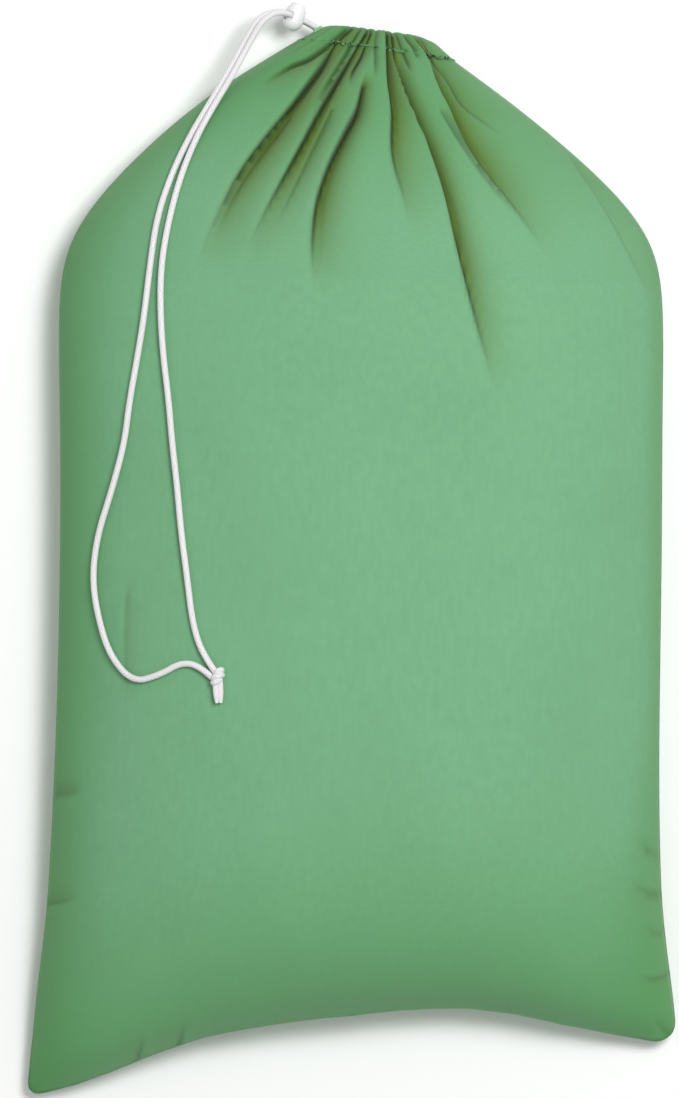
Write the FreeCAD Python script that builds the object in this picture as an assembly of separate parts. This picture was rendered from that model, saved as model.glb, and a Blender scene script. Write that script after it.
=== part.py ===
import FreeCAD, Part
import math
import os

# A stuffed laundry bag that lies on its back, with its mouth drawn in by a cord.
# Millimetres. +X is to the bag's right, +Y towards its mouth, +Z up from the floor.
# The origin is on the floor, under the middle of the box round the bag without its cords.

vec = FreeCAD.Vector

# The bag
bag_width = 548.0  # seam to seam across the middle of the stuffed body
bag_length = 980.0  # from the mouth to the lower of the two bottom corners
stuffed_height = 170.0  # crown of the front panel above the floor
side_seam_height = 60.0  # side seams above the floor, beside the middle of the body
corner_height = 20.0  # bottom corners above the floor
bottom_seam_height = 65.0  # middle of the bottom seam above the floor
cloth = 0.9  # one layer of cotton cloth
seam_edge = 1.2  # depth of the sewn edge, where the two panels meet
allowance = 8.0  # overlocked allowance that stands inside each seam
allowance_thickness = 1.8  # two layers of cloth in the overlock
allowance_sink = 0.6  # how far the allowance is sewn into the edge of the panels

# The gathered mouth: a flared ring of folded casing, oval in section
mouth_half_width = 48.0
mouth_half_height = 25.0
mouth_tilt = 7.5  # degrees that the mouth leans towards the bag's right
mouth_clearance = 2.0  # casing above the floor
casing_depth = 20.0  # width of the casing, mouth edge to stitch row
flare_width = 28.0  # what the casing gains in half width over its depth
flare_height = 7.0  # and in half height
hole_half_width = 28.0  # way in through the gathered mouth
hole_half_height = 9.5
hole_flare_width = 8.0
hole_flare_height = 4.5
panel_setback = 0.8  # panels meet the casing this far inside its outer edge

# Stitches
stitch_height = 0.5
stitch_width = 1.0
bartack_length = 9.0
bartack_width = 2.0
bartack_sink = 0.6  # thread drawn into the cloth

# The drawstring
cord_diameter = 5.5
cord_gap = 0.2  # between the two strands where they run side by side
tunnel_clearance = 0.35  # round the cord inside the casing
knot_diameter = 12.5
knot_length = 17.0
tail_diameter = 9.5
tail_length = 15.0

# The cord lock, from the cords outwards
lock_position = 17.5  # lock's centre along the straight run of the cords
slot_clearance = 0.2
slot_slack = 0.75  # spare width of the barrel's slot on each side of the two cords
plunger_wall = 1.3  # beside the plunger's slot
plunger_web = 2.8  # plunger's floor under its slot
plunger_clearance = 0.08
plunger_travel = 3.0
plunger_stand = 4.5  # the button above the barrel's mouth
barrel_wall = 1.3  # round the plunger at the barrel's mouth
barrel_bulge = 1.0  # what the barrel gains in radius from its mouth to its belly
barrel_collar = 5.0  # barrel above the cords
barrel_floor = 2.1  # bottom of the barrel under the spring
spring_diameter = 7.6
spring_wire = 0.6
spring_length = 5.6
spring_turns = 4
spring_seat_clearance = 0.5

# Outline of the body from the bottom seam to the neck, as shares of the width and length:
# left edge x, y, right edge x, y, then how far the middle of the row bows towards the mouth.
outline = [
    (-0.537, -0.5003, 0.5370, -0.447, 0.052),
    (-0.536, -0.484, 0.5370, -0.434, 0.052),
    (-0.529, -0.451, 0.5320, -0.407, 0.049),
    (-0.518, -0.388, 0.5220, -0.357, 0.041),
    (-0.505, -0.296, 0.5130, -0.275, 0.029),
    (-0.492, -0.163, 0.5110, -0.158, 0.013),
    (-0.485, 0.000, 0.5160, 0.000, 0.000),
    (-0.485, 0.133, 0.5160, 0.133, 0.000),
    (-0.490, 0.228, 0.5200, 0.228, 0.000),
    (-0.480, 0.293, 0.5090, 0.293, 0.000),
    (-0.402, 0.353, 0.4240, 0.352, 0.000),
    (-0.256, 0.429, 0.2740, 0.423, 0.000),
    (-0.161, 0.461, 0.2150, 0.447, 0.000),
]
# The same rows' heights: side seam between the corner and the middle of the body, crown of
# the front as a share of the stuffed height, lift of the back as a share of the bottom seam's
# height, and how full the row's section is.
heights = [
    (0.00, 0.382, 1.00, 2.0),
    (0.05, 0.600, 0.50, 2.2),
    (0.15, 0.775, 0.15, 2.2),
    (0.40, 0.915, 0.00, 2.2),
    (0.70, 0.990, 0.00, 2.2),
    (0.93, 1.000, 0.00, 2.2),
    (1.00, 1.000, 0.00, 2.2),
    (1.00, 1.000, 0.00, 2.2),
    (0.95, 0.988, 0.00, 2.2),
    (0.85, 0.941, 0.00, 2.2),
    (0.70, 0.824, 0.00, 2.2),
    (0.50, 0.618, 0.00, 2.6),
    (0.40, 0.500, 0.00, 3.5),
]
neck_fullness = 5.0
columns = [-1.0, -0.97, -0.9, -0.78, -0.6, -0.4, -0.2, 0.0, 0.2, 0.4, 0.6, 0.78, 0.9, 0.97, 1.0]
flat_share = 0.6  # share of the back's width that lies on the floor
# First and last knot lines, along the bag and across it, of the patch that it rests on
rest_rows = (3.0, 10.0)
rest_columns = (4.0, 8.0)

# Routes of the cords, from the casing's exit through the lock to the end knot.
right_strand_route = [
    (-26.4, 483.7, 31.8),
    (-39.2, 491.6, 31.8),
    (-65.4, 500.5, 56.8),
    (-81.5, 490.5, 62.0),
    (-91.0, 474.2, 61.0),
    (-101.6, 453.8, 65.0),
    (-112.4, 432.8, 73.5),
    (-124.5, 411.8, 83.5),
    (-140.0, 382.0, 98.5),
    (-154.0, 345.0, 116.0),
    (-164.5, 303.0, 132.0),
    (-171.0, 262.0, 140.5),
    (-171.5, 222.0, 144.5),
    (-169.0, 183.0, 147.0),
    (-164.0, 143.0, 149.5),
    (-160.6, 103.0, 151.3),
    (-156.0, 63.0, 152.5),
    (-152.5, 23.0, 153.5),
    (-147.0, -18.0, 155.5),
    (-142.5, -56.0, 157.0),
    (-134.0, -84.0, 160.0),
    (-122.0, -100.5, 163.5),
]
left_strand_route = [
    (-26.7, 483.35, 26.0),
    (-41.2, 492.4, 26.0),
    (-68.6, 501.5, 52.0),
    (-85.5, 493.0, 57.5),
    (-95.0, 476.8, 56.5),
    (-105.4, 456.2, 60.0),
    (-116.6, 435.2, 68.5),
    (-128.9, 413.6, 77.5),
    (-146.0, 383.0, 94.0),
    (-161.5, 349.0, 110.5),
    (-175.0, 307.0, 126.5),
    (-181.0, 262.0, 136.5),
    (-186.0, 217.0, 139.5),
    (-192.5, 178.0, 138.0),
    (-199.5, 140.0, 135.0),
    (-204.0, 103.0, 133.0),
    (-216.0, 60.0, 126.5),
    (-229.0, 21.0, 117.5),
    (-234.0, -18.0, 114.0),
    (-228.0, -55.0, 118.5),
    (-217.0, -88.0, 126.0),
    (-196.0, -111.0, 137.0),
    (-172.0, -104.0, 148.0),
    (-152.0, -92.5, 154.5),
    (-136.0, -95.5, 159.3),
    (-124.5, -106.0, 163.3),
]
knot_top = (-120.5, -97.0, 163.8)
knot_tail_end = (-118.0, -129.0, 165.0)

# Route of the cord inside the casing, in the mouth's own frame (across, towards the mouth, up).
# Its ends are the two exits, where the strands start.
casing_route = [
    (-50.63, -6.60, 4.8),
    (-37.9, -12.3, 4.8),
    (-25.5, -10.8, 23.6),
    (38.3, -10.5, 23.6),
    (50.0, -10.5, 11.9),
    (50.0, -10.5, -4.7),
    (38.3, -10.5, -16.4),
    (-25.5, -10.8, -16.4),
    (-38.1, -12.8, -1.0),
    (-50.88, -6.98, -1.0),
]


def save(shape, name):
    shape.exportStep("parts/" + name + ".step")
    print(name, "valid", shape.isValid(), "solids", len(shape.Solids), "volume", round(shape.Volume, 1))


# ---- the mouth's own frame: X across the mouth, Y out of it, Z up, origin in the mouth
mouth_place = FreeCAD.Placement(
    vec(0.045 * bag_width, 0.4935 * bag_length, mouth_clearance + mouth_half_height),
    FreeCAD.Rotation(vec(0, 0, 1), -mouth_tilt),
)


def stadium(half_width, half_height, y, z):
    """Oval wire across the mouth: two flats joined by two half circles."""
    flat = half_width - half_height
    top_left, top_right = vec(-flat, y, z + half_height), vec(flat, y, z + half_height)
    low_left, low_right = vec(-flat, y, z - half_height), vec(flat, y, z - half_height)
    return Part.Wire(
        [
            Part.LineSegment(top_left, top_right).toShape(),
            Part.Arc(top_right, vec(half_width, y, z), low_right).toShape(),
            Part.LineSegment(low_right, low_left).toShape(),
            Part.Arc(low_left, vec(-half_width, y, z), top_left).toShape(),
        ]
    )


def flared(half_width, half_height, gain_width, gain_height, start, end, grow=0.0):
    """Flared oval plug between two depths below the mouth edge."""
    wires = []
    for depth in (start, end):
        share = depth / casing_depth
        wires.append(
            stadium(
                half_width + gain_width * share + grow,
                half_height + gain_height * share + grow,
                -depth,
                flare_height * share,
            )
        )
    return Part.makeLoft(wires, True, True)


# ---- cord tubes: straight runs joined by tangent arcs
def cord_path(points, label):
    points = [vec(*p) for p in points]
    edges = []
    start = points[0]
    smallest = None
    for before, corner, after in zip(points, points[1:], points[2:]):
        into = (corner - before).normalize()
        out = (after - corner).normalize()
        turn = into.getAngle(out)
        reach = 0.45 * min((corner - before).Length, (after - corner).Length)
        radius = reach / math.tan(turn / 2)
        arc_start = corner - into * reach
        arc_end = corner + out * reach
        to_centre = (out - into).normalize()
        centre = corner + to_centre * (radius / math.cos(turn / 2))
        middle = centre - to_centre * radius
        edges.append(Part.LineSegment(start, arc_start).toShape())
        edges.append(Part.Arc(arc_start, middle, arc_end).toShape())
        start = arc_end
        smallest = radius if smallest is None else min(smallest, radius)
    edges.append(Part.LineSegment(start, points[-1]).toShape())
    path = Part.Wire(edges)
    print(label, "length", round(path.Length, 1), "smallest radius", round(smallest, 1))
    return path


def tube(points, diameter, label):
    path = cord_path(points, label)
    first = vec(*points[0])
    along = vec(*points[1]) - first
    ring = Part.Wire([Part.makeCircle(diameter / 2, first, along)])
    solid = path.makePipeShell([ring], True, False)
    expected = math.pi * diameter**2 / 4 * path.Length
    print(label, "volume over section x length", round(solid.Volume / expected, 4))
    return solid


# ---- the body's panels, from a net of points over the outline and the heights
def body_rows():
    """Each row: left end, right end, bow, crown, lift and fullness, bottom seam first."""
    rows = []
    for (lx, ly, rx, ry, bow), (seam, crown, lift, full) in zip(outline, heights):
        z = corner_height + (side_seam_height - corner_height) * seam
        rows.append(
            (
                vec(lx * bag_width, ly * bag_length, z),
                vec(rx * bag_width, ry * bag_length, z),
                bow * bag_length,
                crown * stuffed_height,
                lift * bottom_seam_height,
                full,
            )
        )
    half = mouth_half_width + flare_width - panel_setback
    tall = mouth_half_height + flare_height - panel_setback
    ends = [mouth_place.multVec(vec(x, -casing_depth, flare_height)) for x in (-half, half)]
    centre = ends[0].z
    rows.append((ends[0], ends[1], 0.0, centre + tall, centre - tall, neck_fullness))
    return rows


def crown_share(t, full):
    return (1 - abs(t) ** full) ** 0.55


def floor_share(t):
    """How far a row of the back has come down to the floor, 1 over the flat middle."""
    past = max(0.0, abs(t) - flat_share) / (1 - flat_share)
    return (1 - past**2) ** 0.75


def panel_net(front, inset, thickness):
    """Net of points for one face of a panel, moved in from the seams and through the cloth."""
    rows = body_rows()
    net = []
    for index, (left, right, bow, crown, lift, full) in enumerate(rows):
        bottom, neck = index == 0, index == len(rows) - 1
        line = []
        for t in columns:
            share = (1 + t) / 2
            point = left * (1 - share) + right * share
            across = (right - left).normalize()
            point = point - across * (inset * t)
            point.y += bow * (1 - t * t) + (inset if index < 3 else 0.0)
            if bottom:
                point.z += (bottom_seam_height - point.z) * (1 - t * t)
            elif front:
                point.z += (crown - thickness - point.z) * crown_share(t, full)
            elif neck:
                point.z += (lift + thickness - point.z) * crown_share(t, full)
            else:
                point.z += (lift + thickness - point.z) * floor_share(t)
            line.append(point)
        net.append(line)
    return net


def skin(net):
    """Smooth surface over a net of points; its rim follows the net's rim."""
    counts = (len(net), len(net[0]))
    degrees = [min(3, count - 1) for count in counts]
    knots, mults = [], []
    for count, degree in zip(counts, degrees):
        inner = count - degree - 1
        knots.append([float(i) for i in range(inner + 2)])
        mults.append([degree + 1] + [1] * inner + [degree + 1])
    surface = Part.BSplineSurface()
    surface.buildFromPolesMultsKnots(
        net, mults[0], mults[1], knots[0], knots[1], False, False, degrees[0], degrees[1]
    )
    return surface


def is_level(surface):
    heights_of_poles = [pole.z for row in surface.getPoles() for pole in row]
    return max(heights_of_poles) - min(heights_of_poles) < 1e-9


def skin_faces(net, u_cuts, v_cuts):
    """Faces of a net's skin, cut along the given lines, and the edges round its rim.
    A level patch, such as the one the bag rests on, becomes a true plane."""
    whole = skin(net)
    u_low, u_high, v_low, v_high = whole.bounds()
    u_lines = [u_low, *u_cuts, u_high]
    v_lines = [v_low, *v_cuts, v_high]
    faces, rim = [], []
    for u0, u1 in zip(u_lines, u_lines[1:]):
        for v0, v1 in zip(v_lines, v_lines[1:]):
            patch = whole.copy()
            patch.segment(u0, u1, v0, v1)
            sides = [patch.uIso(u0), patch.vIso(v1), patch.uIso(u1), patch.vIso(v0)]
            edges = [side.toShape() for side in sides]
            on_rim = [u0 == u_low, v1 == v_high, u1 == u_high, v0 == v_low]
            rim += [edge for edge, outside in zip(edges, on_rim) if outside]
            if is_level(patch):
                faces.append(Part.Face(Part.Wire(Part.__sortEdges__(edges))))
            else:
                faces.append(patch.toShape())
    return faces, rim


def solid_between(net_a, net_b, u_cuts=(), v_cuts=()):
    """Closed solid between two nets of the same size."""
    faces, rim_a = skin_faces(net_a, u_cuts, v_cuts)
    more_faces, rim_b = skin_faces(net_b, u_cuts, v_cuts)
    faces += more_faces
    for edge_a, edge_b in zip(rim_a, rim_b):
        faces.append(Part.makeRuledSurface(edge_a, edge_b))
    shell = Part.makeShell(faces)
    shell.sewShape()
    solid = Part.makeSolid(shell)
    if solid.Volume < 0:
        solid.reverse()
    return solid


def make_panels():
    front = solid_between(panel_net(True, 0.0, 0.0), panel_net(True, seam_edge, cloth))
    save(front, "front_panel")
    back_nets = (panel_net(False, 0.0, 0.0), panel_net(False, seam_edge, cloth))
    save(solid_between(*back_nets, rest_rows, rest_columns), "back_panel")


# ---- seams: overlocked allowances that stand inside the sewn edges
def strip(line_a, line_b):
    """Flat strip of cloth between two lines of points, half its thickness each way in Z."""
    half = vec(0, 0, allowance_thickness / 2)
    upper = [[a + half, b + half] for a, b in zip(line_a, line_b)]
    lower = [[a - half, b - half] for a, b in zip(line_a, line_b)]
    return solid_between(upper, lower)


def make_seams():
    near = panel_net(True, seam_edge - allowance_sink, cloth)
    far = panel_net(True, seam_edge + allowance, cloth)
    save(strip([row[0] for row in near], [row[0] for row in far]), "left_seam_overlock")
    save(strip([row[-1] for row in near], [row[-1] for row in far]), "right_seam_overlock")
    save(strip(near[0][2:-2], far[0][2:-2]), "bottom_seam_overlock")


# ---- casing: the folded hem round the mouth, a half on each panel
def half_space(front):
    """Block on one side of the slanted plane of the side seams."""
    big = 4 * (mouth_half_width + flare_width)
    slope = flare_height / casing_depth
    up = 1 if front else -1
    corners = [
        vec(-big, casing_depth, -slope * casing_depth),
        vec(-big, -2 * casing_depth, slope * 2 * casing_depth),
        vec(-big, -2 * casing_depth, slope * 2 * casing_depth + up * big),
        vec(-big, casing_depth, -slope * casing_depth + up * big),
    ]
    face = Part.Face(Part.makePolygon(corners + corners[:1]))
    return face.extrude(vec(2 * big, 0, 0))


def tunnel():
    """Hollow for the cord: one leg per half, which run into each other at the far end."""
    middle = len(casing_route) // 2
    bore = cord_diameter + 2 * tunnel_clearance
    legs = []
    for points in (casing_route[: middle + 1], casing_route[middle - 1 :][::-1]):
        first = vec(*points[0])
        outwards = first - vec(*points[1])
        legs.append(tube(points, bore, "tunnel"))
        legs.append(Part.makeCylinder(bore / 2, mouth_half_height, first, outwards))
    return legs


def make_casing():
    ring = flared(mouth_half_width, mouth_half_height, flare_width, flare_height, 0.0, casing_depth)
    hole = flared(
        hole_half_width, hole_half_height, hole_flare_width, hole_flare_height, -1.0, casing_depth + 1.0
    )
    ring = ring.cut([hole] + tunnel())
    for name, front in (("front_casing", True), ("back_casing", False)):
        half = ring.common(half_space(front))
        half.Placement = mouth_place
        save(half, name)


def make_stitching():
    start = casing_depth - 2 * stitch_width
    end = casing_depth - stitch_width
    sizes = (mouth_half_width, mouth_half_height, flare_width, flare_height)
    row = flared(*sizes, start, end, stitch_height).cut(flared(*sizes, start, end))
    row.Placement = mouth_place
    save(row, "casing_stitching")


def make_bartacks():
    """Two short bars of dense stitches, above and below the cord's exit."""
    exit_point = (vec(*casing_route[0]) + vec(*casing_route[-1])) * 0.5
    slope = math.atan2(flare_width, casing_depth)
    tacks = []
    for side in (1, -1):
        bar = Part.makeBox(bartack_width, bartack_length, 4 * bartack_sink)
        bar.translate(vec(-bartack_width / 2, -bartack_length / 2, -bartack_sink))
        reach = cord_diameter + 2 * tunnel_clearance + 2 * bartack_width
        angle = side * reach / mouth_half_height
        bar.rotate(vec(), vec(0, 1, 0), -90)
        bar.rotate(vec(), vec(0, 0, 1), -math.degrees(slope))
        depth = -exit_point.y
        share = depth / casing_depth
        flat = mouth_half_width - mouth_half_height + (flare_width - flare_height) * share
        radius = mouth_half_height + flare_height * share
        bar.translate(vec(-radius, 0, 0))
        bar.rotate(vec(), vec(0, 1, 0), math.degrees(angle))
        bar.translate(vec(-flat, -depth, flare_height * share))
        tacks.append(bar)
    group = Part.makeCompound(tacks)
    group.Placement = mouth_place
    save(group, "exit_bartacks")


# ---- drawstring
def make_drawstring():
    inside = tube(casing_route, cord_diameter, "cord in the casing")
    inside.Placement = mouth_place
    save(inside, "drawstring_in_casing")
    save(tube(right_strand_route, cord_diameter, "right strand"), "drawstring_right_strand")
    save(tube(left_strand_route, cord_diameter, "left strand"), "drawstring_left_strand")


def make_knot():
    """Overhand knot of both strands: a bulge, a waist and a short blunt tail."""
    start, end = vec(*knot_top), vec(*knot_tail_end)
    total = knot_length + tail_length
    bulge, waist, tail = knot_diameter / 2, 0.33 * knot_diameter, tail_diameter / 2
    points = [
        (0.0, -0.5 * bulge),
        (0.8 * bulge, -0.25 * bulge),
        (bulge, 0.45 * knot_length),
        (waist, knot_length),
        (tail, knot_length + 0.5 * tail_length),
        (0.75 * tail, total - 0.2 * tail),
        (0.0, total),
    ]
    profile = Part.BSplineCurve()
    profile.interpolate([vec(r, 0, h) for r, h in points])
    closing = Part.LineSegment(vec(0, 0, total), vec(0, 0, -0.5 * bulge))
    face = Part.Face(Part.Wire([profile.toShape(), closing.toShape()]))
    knot = face.revolve(vec(), vec(0, 0, 1), 360).Solids[0]
    knot.Placement = FreeCAD.Placement(start, FreeCAD.Rotation(vec(0, 0, 1), end - start))
    save(knot, "end_knot")


# ---- cord lock: X along the cords, Y along the plunger, Z across the pair of cords
def lock_place():
    runs = [(vec(*r[1]), vec(*r[2])) for r in (right_strand_route, left_strand_route)]
    start = (runs[0][0] + runs[1][0]) * 0.5
    along = (runs[0][1] - runs[0][0]).normalize()
    apart = runs[1][0] - runs[0][0]
    apart = (apart - along * apart.dot(along)).normalize()
    press = apart.cross(along)
    turn = FreeCAD.Rotation(along, press, apart, "XYZ")
    return FreeCAD.Placement(start + along * lock_position, turn)


def turned(profile):
    """Solid of revolution round the lock's Y axis, from (radius, y) edges that close."""
    solid = Part.Face(Part.Wire(profile)).revolve(vec(), vec(0, 1, 0), 360)
    return solid.Solids[0]


def line(a, b):
    return Part.LineSegment(vec(*a, 0), vec(*b, 0)).toShape()


def slot(half_width, low, high):
    """Through slot for the two cords, round at its corners, along the lock's X axis."""
    long_way = 4 * lock_radius
    box = Part.makeBox(long_way, high - low, 2 * half_width, vec(-long_way / 2, low, -half_width))
    edges = [e for e in box.Edges if abs(e.tangentAt(e.FirstParameter).x) > 0.9]
    return box.makeFillet(cord_diameter / 2, edges)


# Half widths across the pair of cords, radii, and levels along the lock's Y axis
pair_half = cord_diameter + cord_gap / 2
plunger_radius = pair_half + slot_clearance + plunger_wall
bore_radius = plunger_radius + plunger_clearance
mouth_radius = bore_radius + barrel_wall
lock_radius = mouth_radius + barrel_bulge
cord_high = cord_diameter / 2 + slot_clearance
cord_low = -cord_high
plunger_bottom = cord_low - plunger_web
bore_floor = plunger_bottom - plunger_travel - slot_clearance
spring_floor = plunger_bottom - spring_length
barrel_bottom = spring_floor - barrel_floor
dome_centre = barrel_bottom + lock_radius
barrel_top = cord_high + barrel_collar
plunger_top = barrel_top + plunger_stand


def make_barrel():
    belly = Part.Arc(
        vec(lock_radius, dome_centre, 0),
        vec(lock_radius - 0.2 * barrel_bulge, (dome_centre + barrel_top) / 2, 0),
        vec(mouth_radius, barrel_top, 0),
    )
    eighth = lock_radius * math.sin(math.pi / 4)
    dome = Part.Arc(
        vec(0, barrel_bottom, 0),
        vec(eighth, dome_centre - eighth, 0),
        vec(lock_radius, dome_centre, 0),
    )
    bottom, top = (0, barrel_bottom), (0, barrel_top)
    rim_face = line((mouth_radius, barrel_top), top)
    body = turned([dome.toShape(), belly.toShape(), rim_face, line(top, bottom)])
    up = vec(0, 1, 0)
    bore = Part.makeCylinder(bore_radius, barrel_top - bore_floor + 1, vec(0, bore_floor, 0), up)
    seat = Part.makeCylinder(
        spring_diameter / 2 + spring_seat_clearance, bore_floor - spring_floor + 1, vec(0, spring_floor, 0), up
    )
    window = slot(pair_half + slot_slack, cord_low - plunger_travel, cord_high)
    barrel = body.cut([bore, seat, window])
    barrel.Placement = lock_place()
    save(barrel, "lock_barrel")


def make_plunger():
    radius, top = plunger_radius, plunger_top
    crown = 0.35 * radius
    cap = Part.Arc(
        vec(radius, top - crown, 0), vec(radius * 0.8, top - 0.3 * crown, 0), vec(radius * 0.35, top, 0)
    )
    pin = turned(
        [
            line((0, plunger_bottom), (radius, plunger_bottom)),
            line((radius, plunger_bottom), (radius, top - crown)),
            cap.toShape(),
            line((radius * 0.35, top), (0, top)),
            line((0, top), (0, plunger_bottom)),
        ]
    )
    window = slot(pair_half + slot_clearance, cord_low, cord_high + plunger_travel + slot_clearance)
    plunger = pin.cut(window)
    plunger.Placement = lock_place()
    save(plunger, "lock_plunger")


def make_spring():
    radius = (spring_diameter - spring_wire) / 2
    height = spring_length - spring_wire
    helix = Part.makeHelix(height / spring_turns, height, radius)
    ring = Part.Wire([Part.makeCircle(spring_wire / 2, vec(radius, 0, 0), vec(0, 1, 0))])
    spring = Part.Wire(helix.Edges).makePipeShell([ring], True, True)
    spring.rotate(vec(), vec(1, 0, 0), -90)
    spring.translate(vec(0, spring_floor + spring_wire / 2, 0))
    spring.Placement = lock_place().multiply(spring.Placement)
    save(spring, "lock_spring")


make_panels()
make_seams()
make_casing()
make_stitching()
make_bartacks()
make_drawstring()
make_knot()
make_barrel()
make_plunger()
make_spring()
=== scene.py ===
import math

import bmesh
import bpy
import numpy as np
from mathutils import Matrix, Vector


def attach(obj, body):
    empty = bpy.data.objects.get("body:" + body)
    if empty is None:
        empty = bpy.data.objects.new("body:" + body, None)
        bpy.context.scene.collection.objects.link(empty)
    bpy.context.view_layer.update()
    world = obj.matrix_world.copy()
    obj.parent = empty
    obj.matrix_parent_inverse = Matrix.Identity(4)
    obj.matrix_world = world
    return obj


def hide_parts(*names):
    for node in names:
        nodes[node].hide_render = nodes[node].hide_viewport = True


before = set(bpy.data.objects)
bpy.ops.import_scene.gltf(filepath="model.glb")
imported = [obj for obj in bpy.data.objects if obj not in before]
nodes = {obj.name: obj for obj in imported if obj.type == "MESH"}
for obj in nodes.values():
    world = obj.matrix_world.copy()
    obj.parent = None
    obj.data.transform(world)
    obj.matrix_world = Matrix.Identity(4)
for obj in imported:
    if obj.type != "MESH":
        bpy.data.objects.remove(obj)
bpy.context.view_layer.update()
scene = bpy.context.scene
scene.view_settings.view_transform = "Standard"
print("frame loaded")

# Metres throughout. The bag lies on its back, +Y towards its mouth, +Z up.

# camera, looking straight down on the bag
cameraView = {
    "centre": (-0.0114, 0.0084),
    "height": 4.2,
    "sharpHeight": 0.06,  # height above the floor where the frame has the length below
    "frameLength": 1.001,
}


def makeCamera():
    data = bpy.data.cameras.new("camera")
    distance = cameraView["height"] - cameraView["sharpHeight"]
    data.lens = data.sensor_width * distance / cameraView["frameLength"]
    camera = bpy.data.objects.new("camera", data)
    camera.location = (*cameraView["centre"], cameraView["height"])
    scene.collection.objects.link(camera)
    scene.camera = camera


makeCamera()


# small tools shared by the pieces
def linkMesh(name, bm, smooth=True):
    mesh = bpy.data.meshes.new(name)
    bm.to_mesh(mesh)
    bm.free()
    for polygon in mesh.polygons:
        polygon.use_smooth = smooth
    piece = bpy.data.objects.new(name, mesh)
    scene.collection.objects.link(piece)
    return piece


def readPoints(piece):
    flat = np.empty(len(piece.data.vertices) * 3)
    piece.data.vertices.foreach_get("co", flat)
    return flat.reshape(-1, 3)


def writePoints(piece, points):
    piece.data.vertices.foreach_set("co", points.ravel())
    piece.data.update()


def readNormals(piece):
    flat = np.empty(len(piece.data.vertices) * 3)
    piece.data.vertices.foreach_get("normal", flat)
    return flat.reshape(-1, 3)


def ease(low, high, values):
    share = np.clip((values - low) / (high - low), 0, 1)
    return share * share * (3 - 2 * share)


# materials
def newMaterial(name):
    material = bpy.data.materials.new(name)
    material.use_nodes = True
    tree = material.node_tree
    return material, tree, tree.nodes["Principled BSDF"]


def addNode(tree, kind, **settings):
    node = tree.nodes.new(kind)
    for key, value in settings.items():
        if hasattr(node, key):
            setattr(node, key, value)
        else:
            node.inputs[key].default_value = value
    return node


def addRange(tree, ends):
    # spreads a share from 0 to 1 over the range between two ends
    node = addNode(tree, "ShaderNodeMapRange")
    node.inputs["To Min"].default_value = ends[0]
    node.inputs["To Max"].default_value = ends[1]
    return node


def addBump(tree, shader, height, strength, distance):
    bump = addNode(tree, "ShaderNodeBump", Strength=strength, Distance=distance)
    tree.links.new(height, bump.inputs["Height"])
    tree.links.new(bump.outputs["Normal"], shader.inputs["Normal"])


cottonLook = {
    "colour": (0.170, 0.395, 0.213, 1),
    "shadeColour": (0.110, 0.285, 0.135, 1),
    # painted shade: the darker, deeper green near the seams, at the foot, at the neck and on the casing
    "deepColour": (0.090, 0.294, 0.092, 1),
    # painted shade: the darker olive in the folds' valleys and the pleats' hollows
    "creaseShadeColour": (0.098, 0.158, 0.010, 1),
    # painted shade: the dark line at the foot of each fold's steep side
    "cavityShadeColour": (0.008, 0.026, 0.004, 1),
    "threadPitch": 0.00045,
    "slubPitch": 0.006,  # length of the thick and thin places in a yarn
    "cloudRange": (0.0, 0.16),  # share of the shade colour in the slow clouds of tone
    "slubRange": (0.90, 1.06),  # brightness along a yarn
    "bump": 0.35,
    "roughness": 0.92,
    "specular": 0.25,
    "sheen": 0.12,
}


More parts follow.
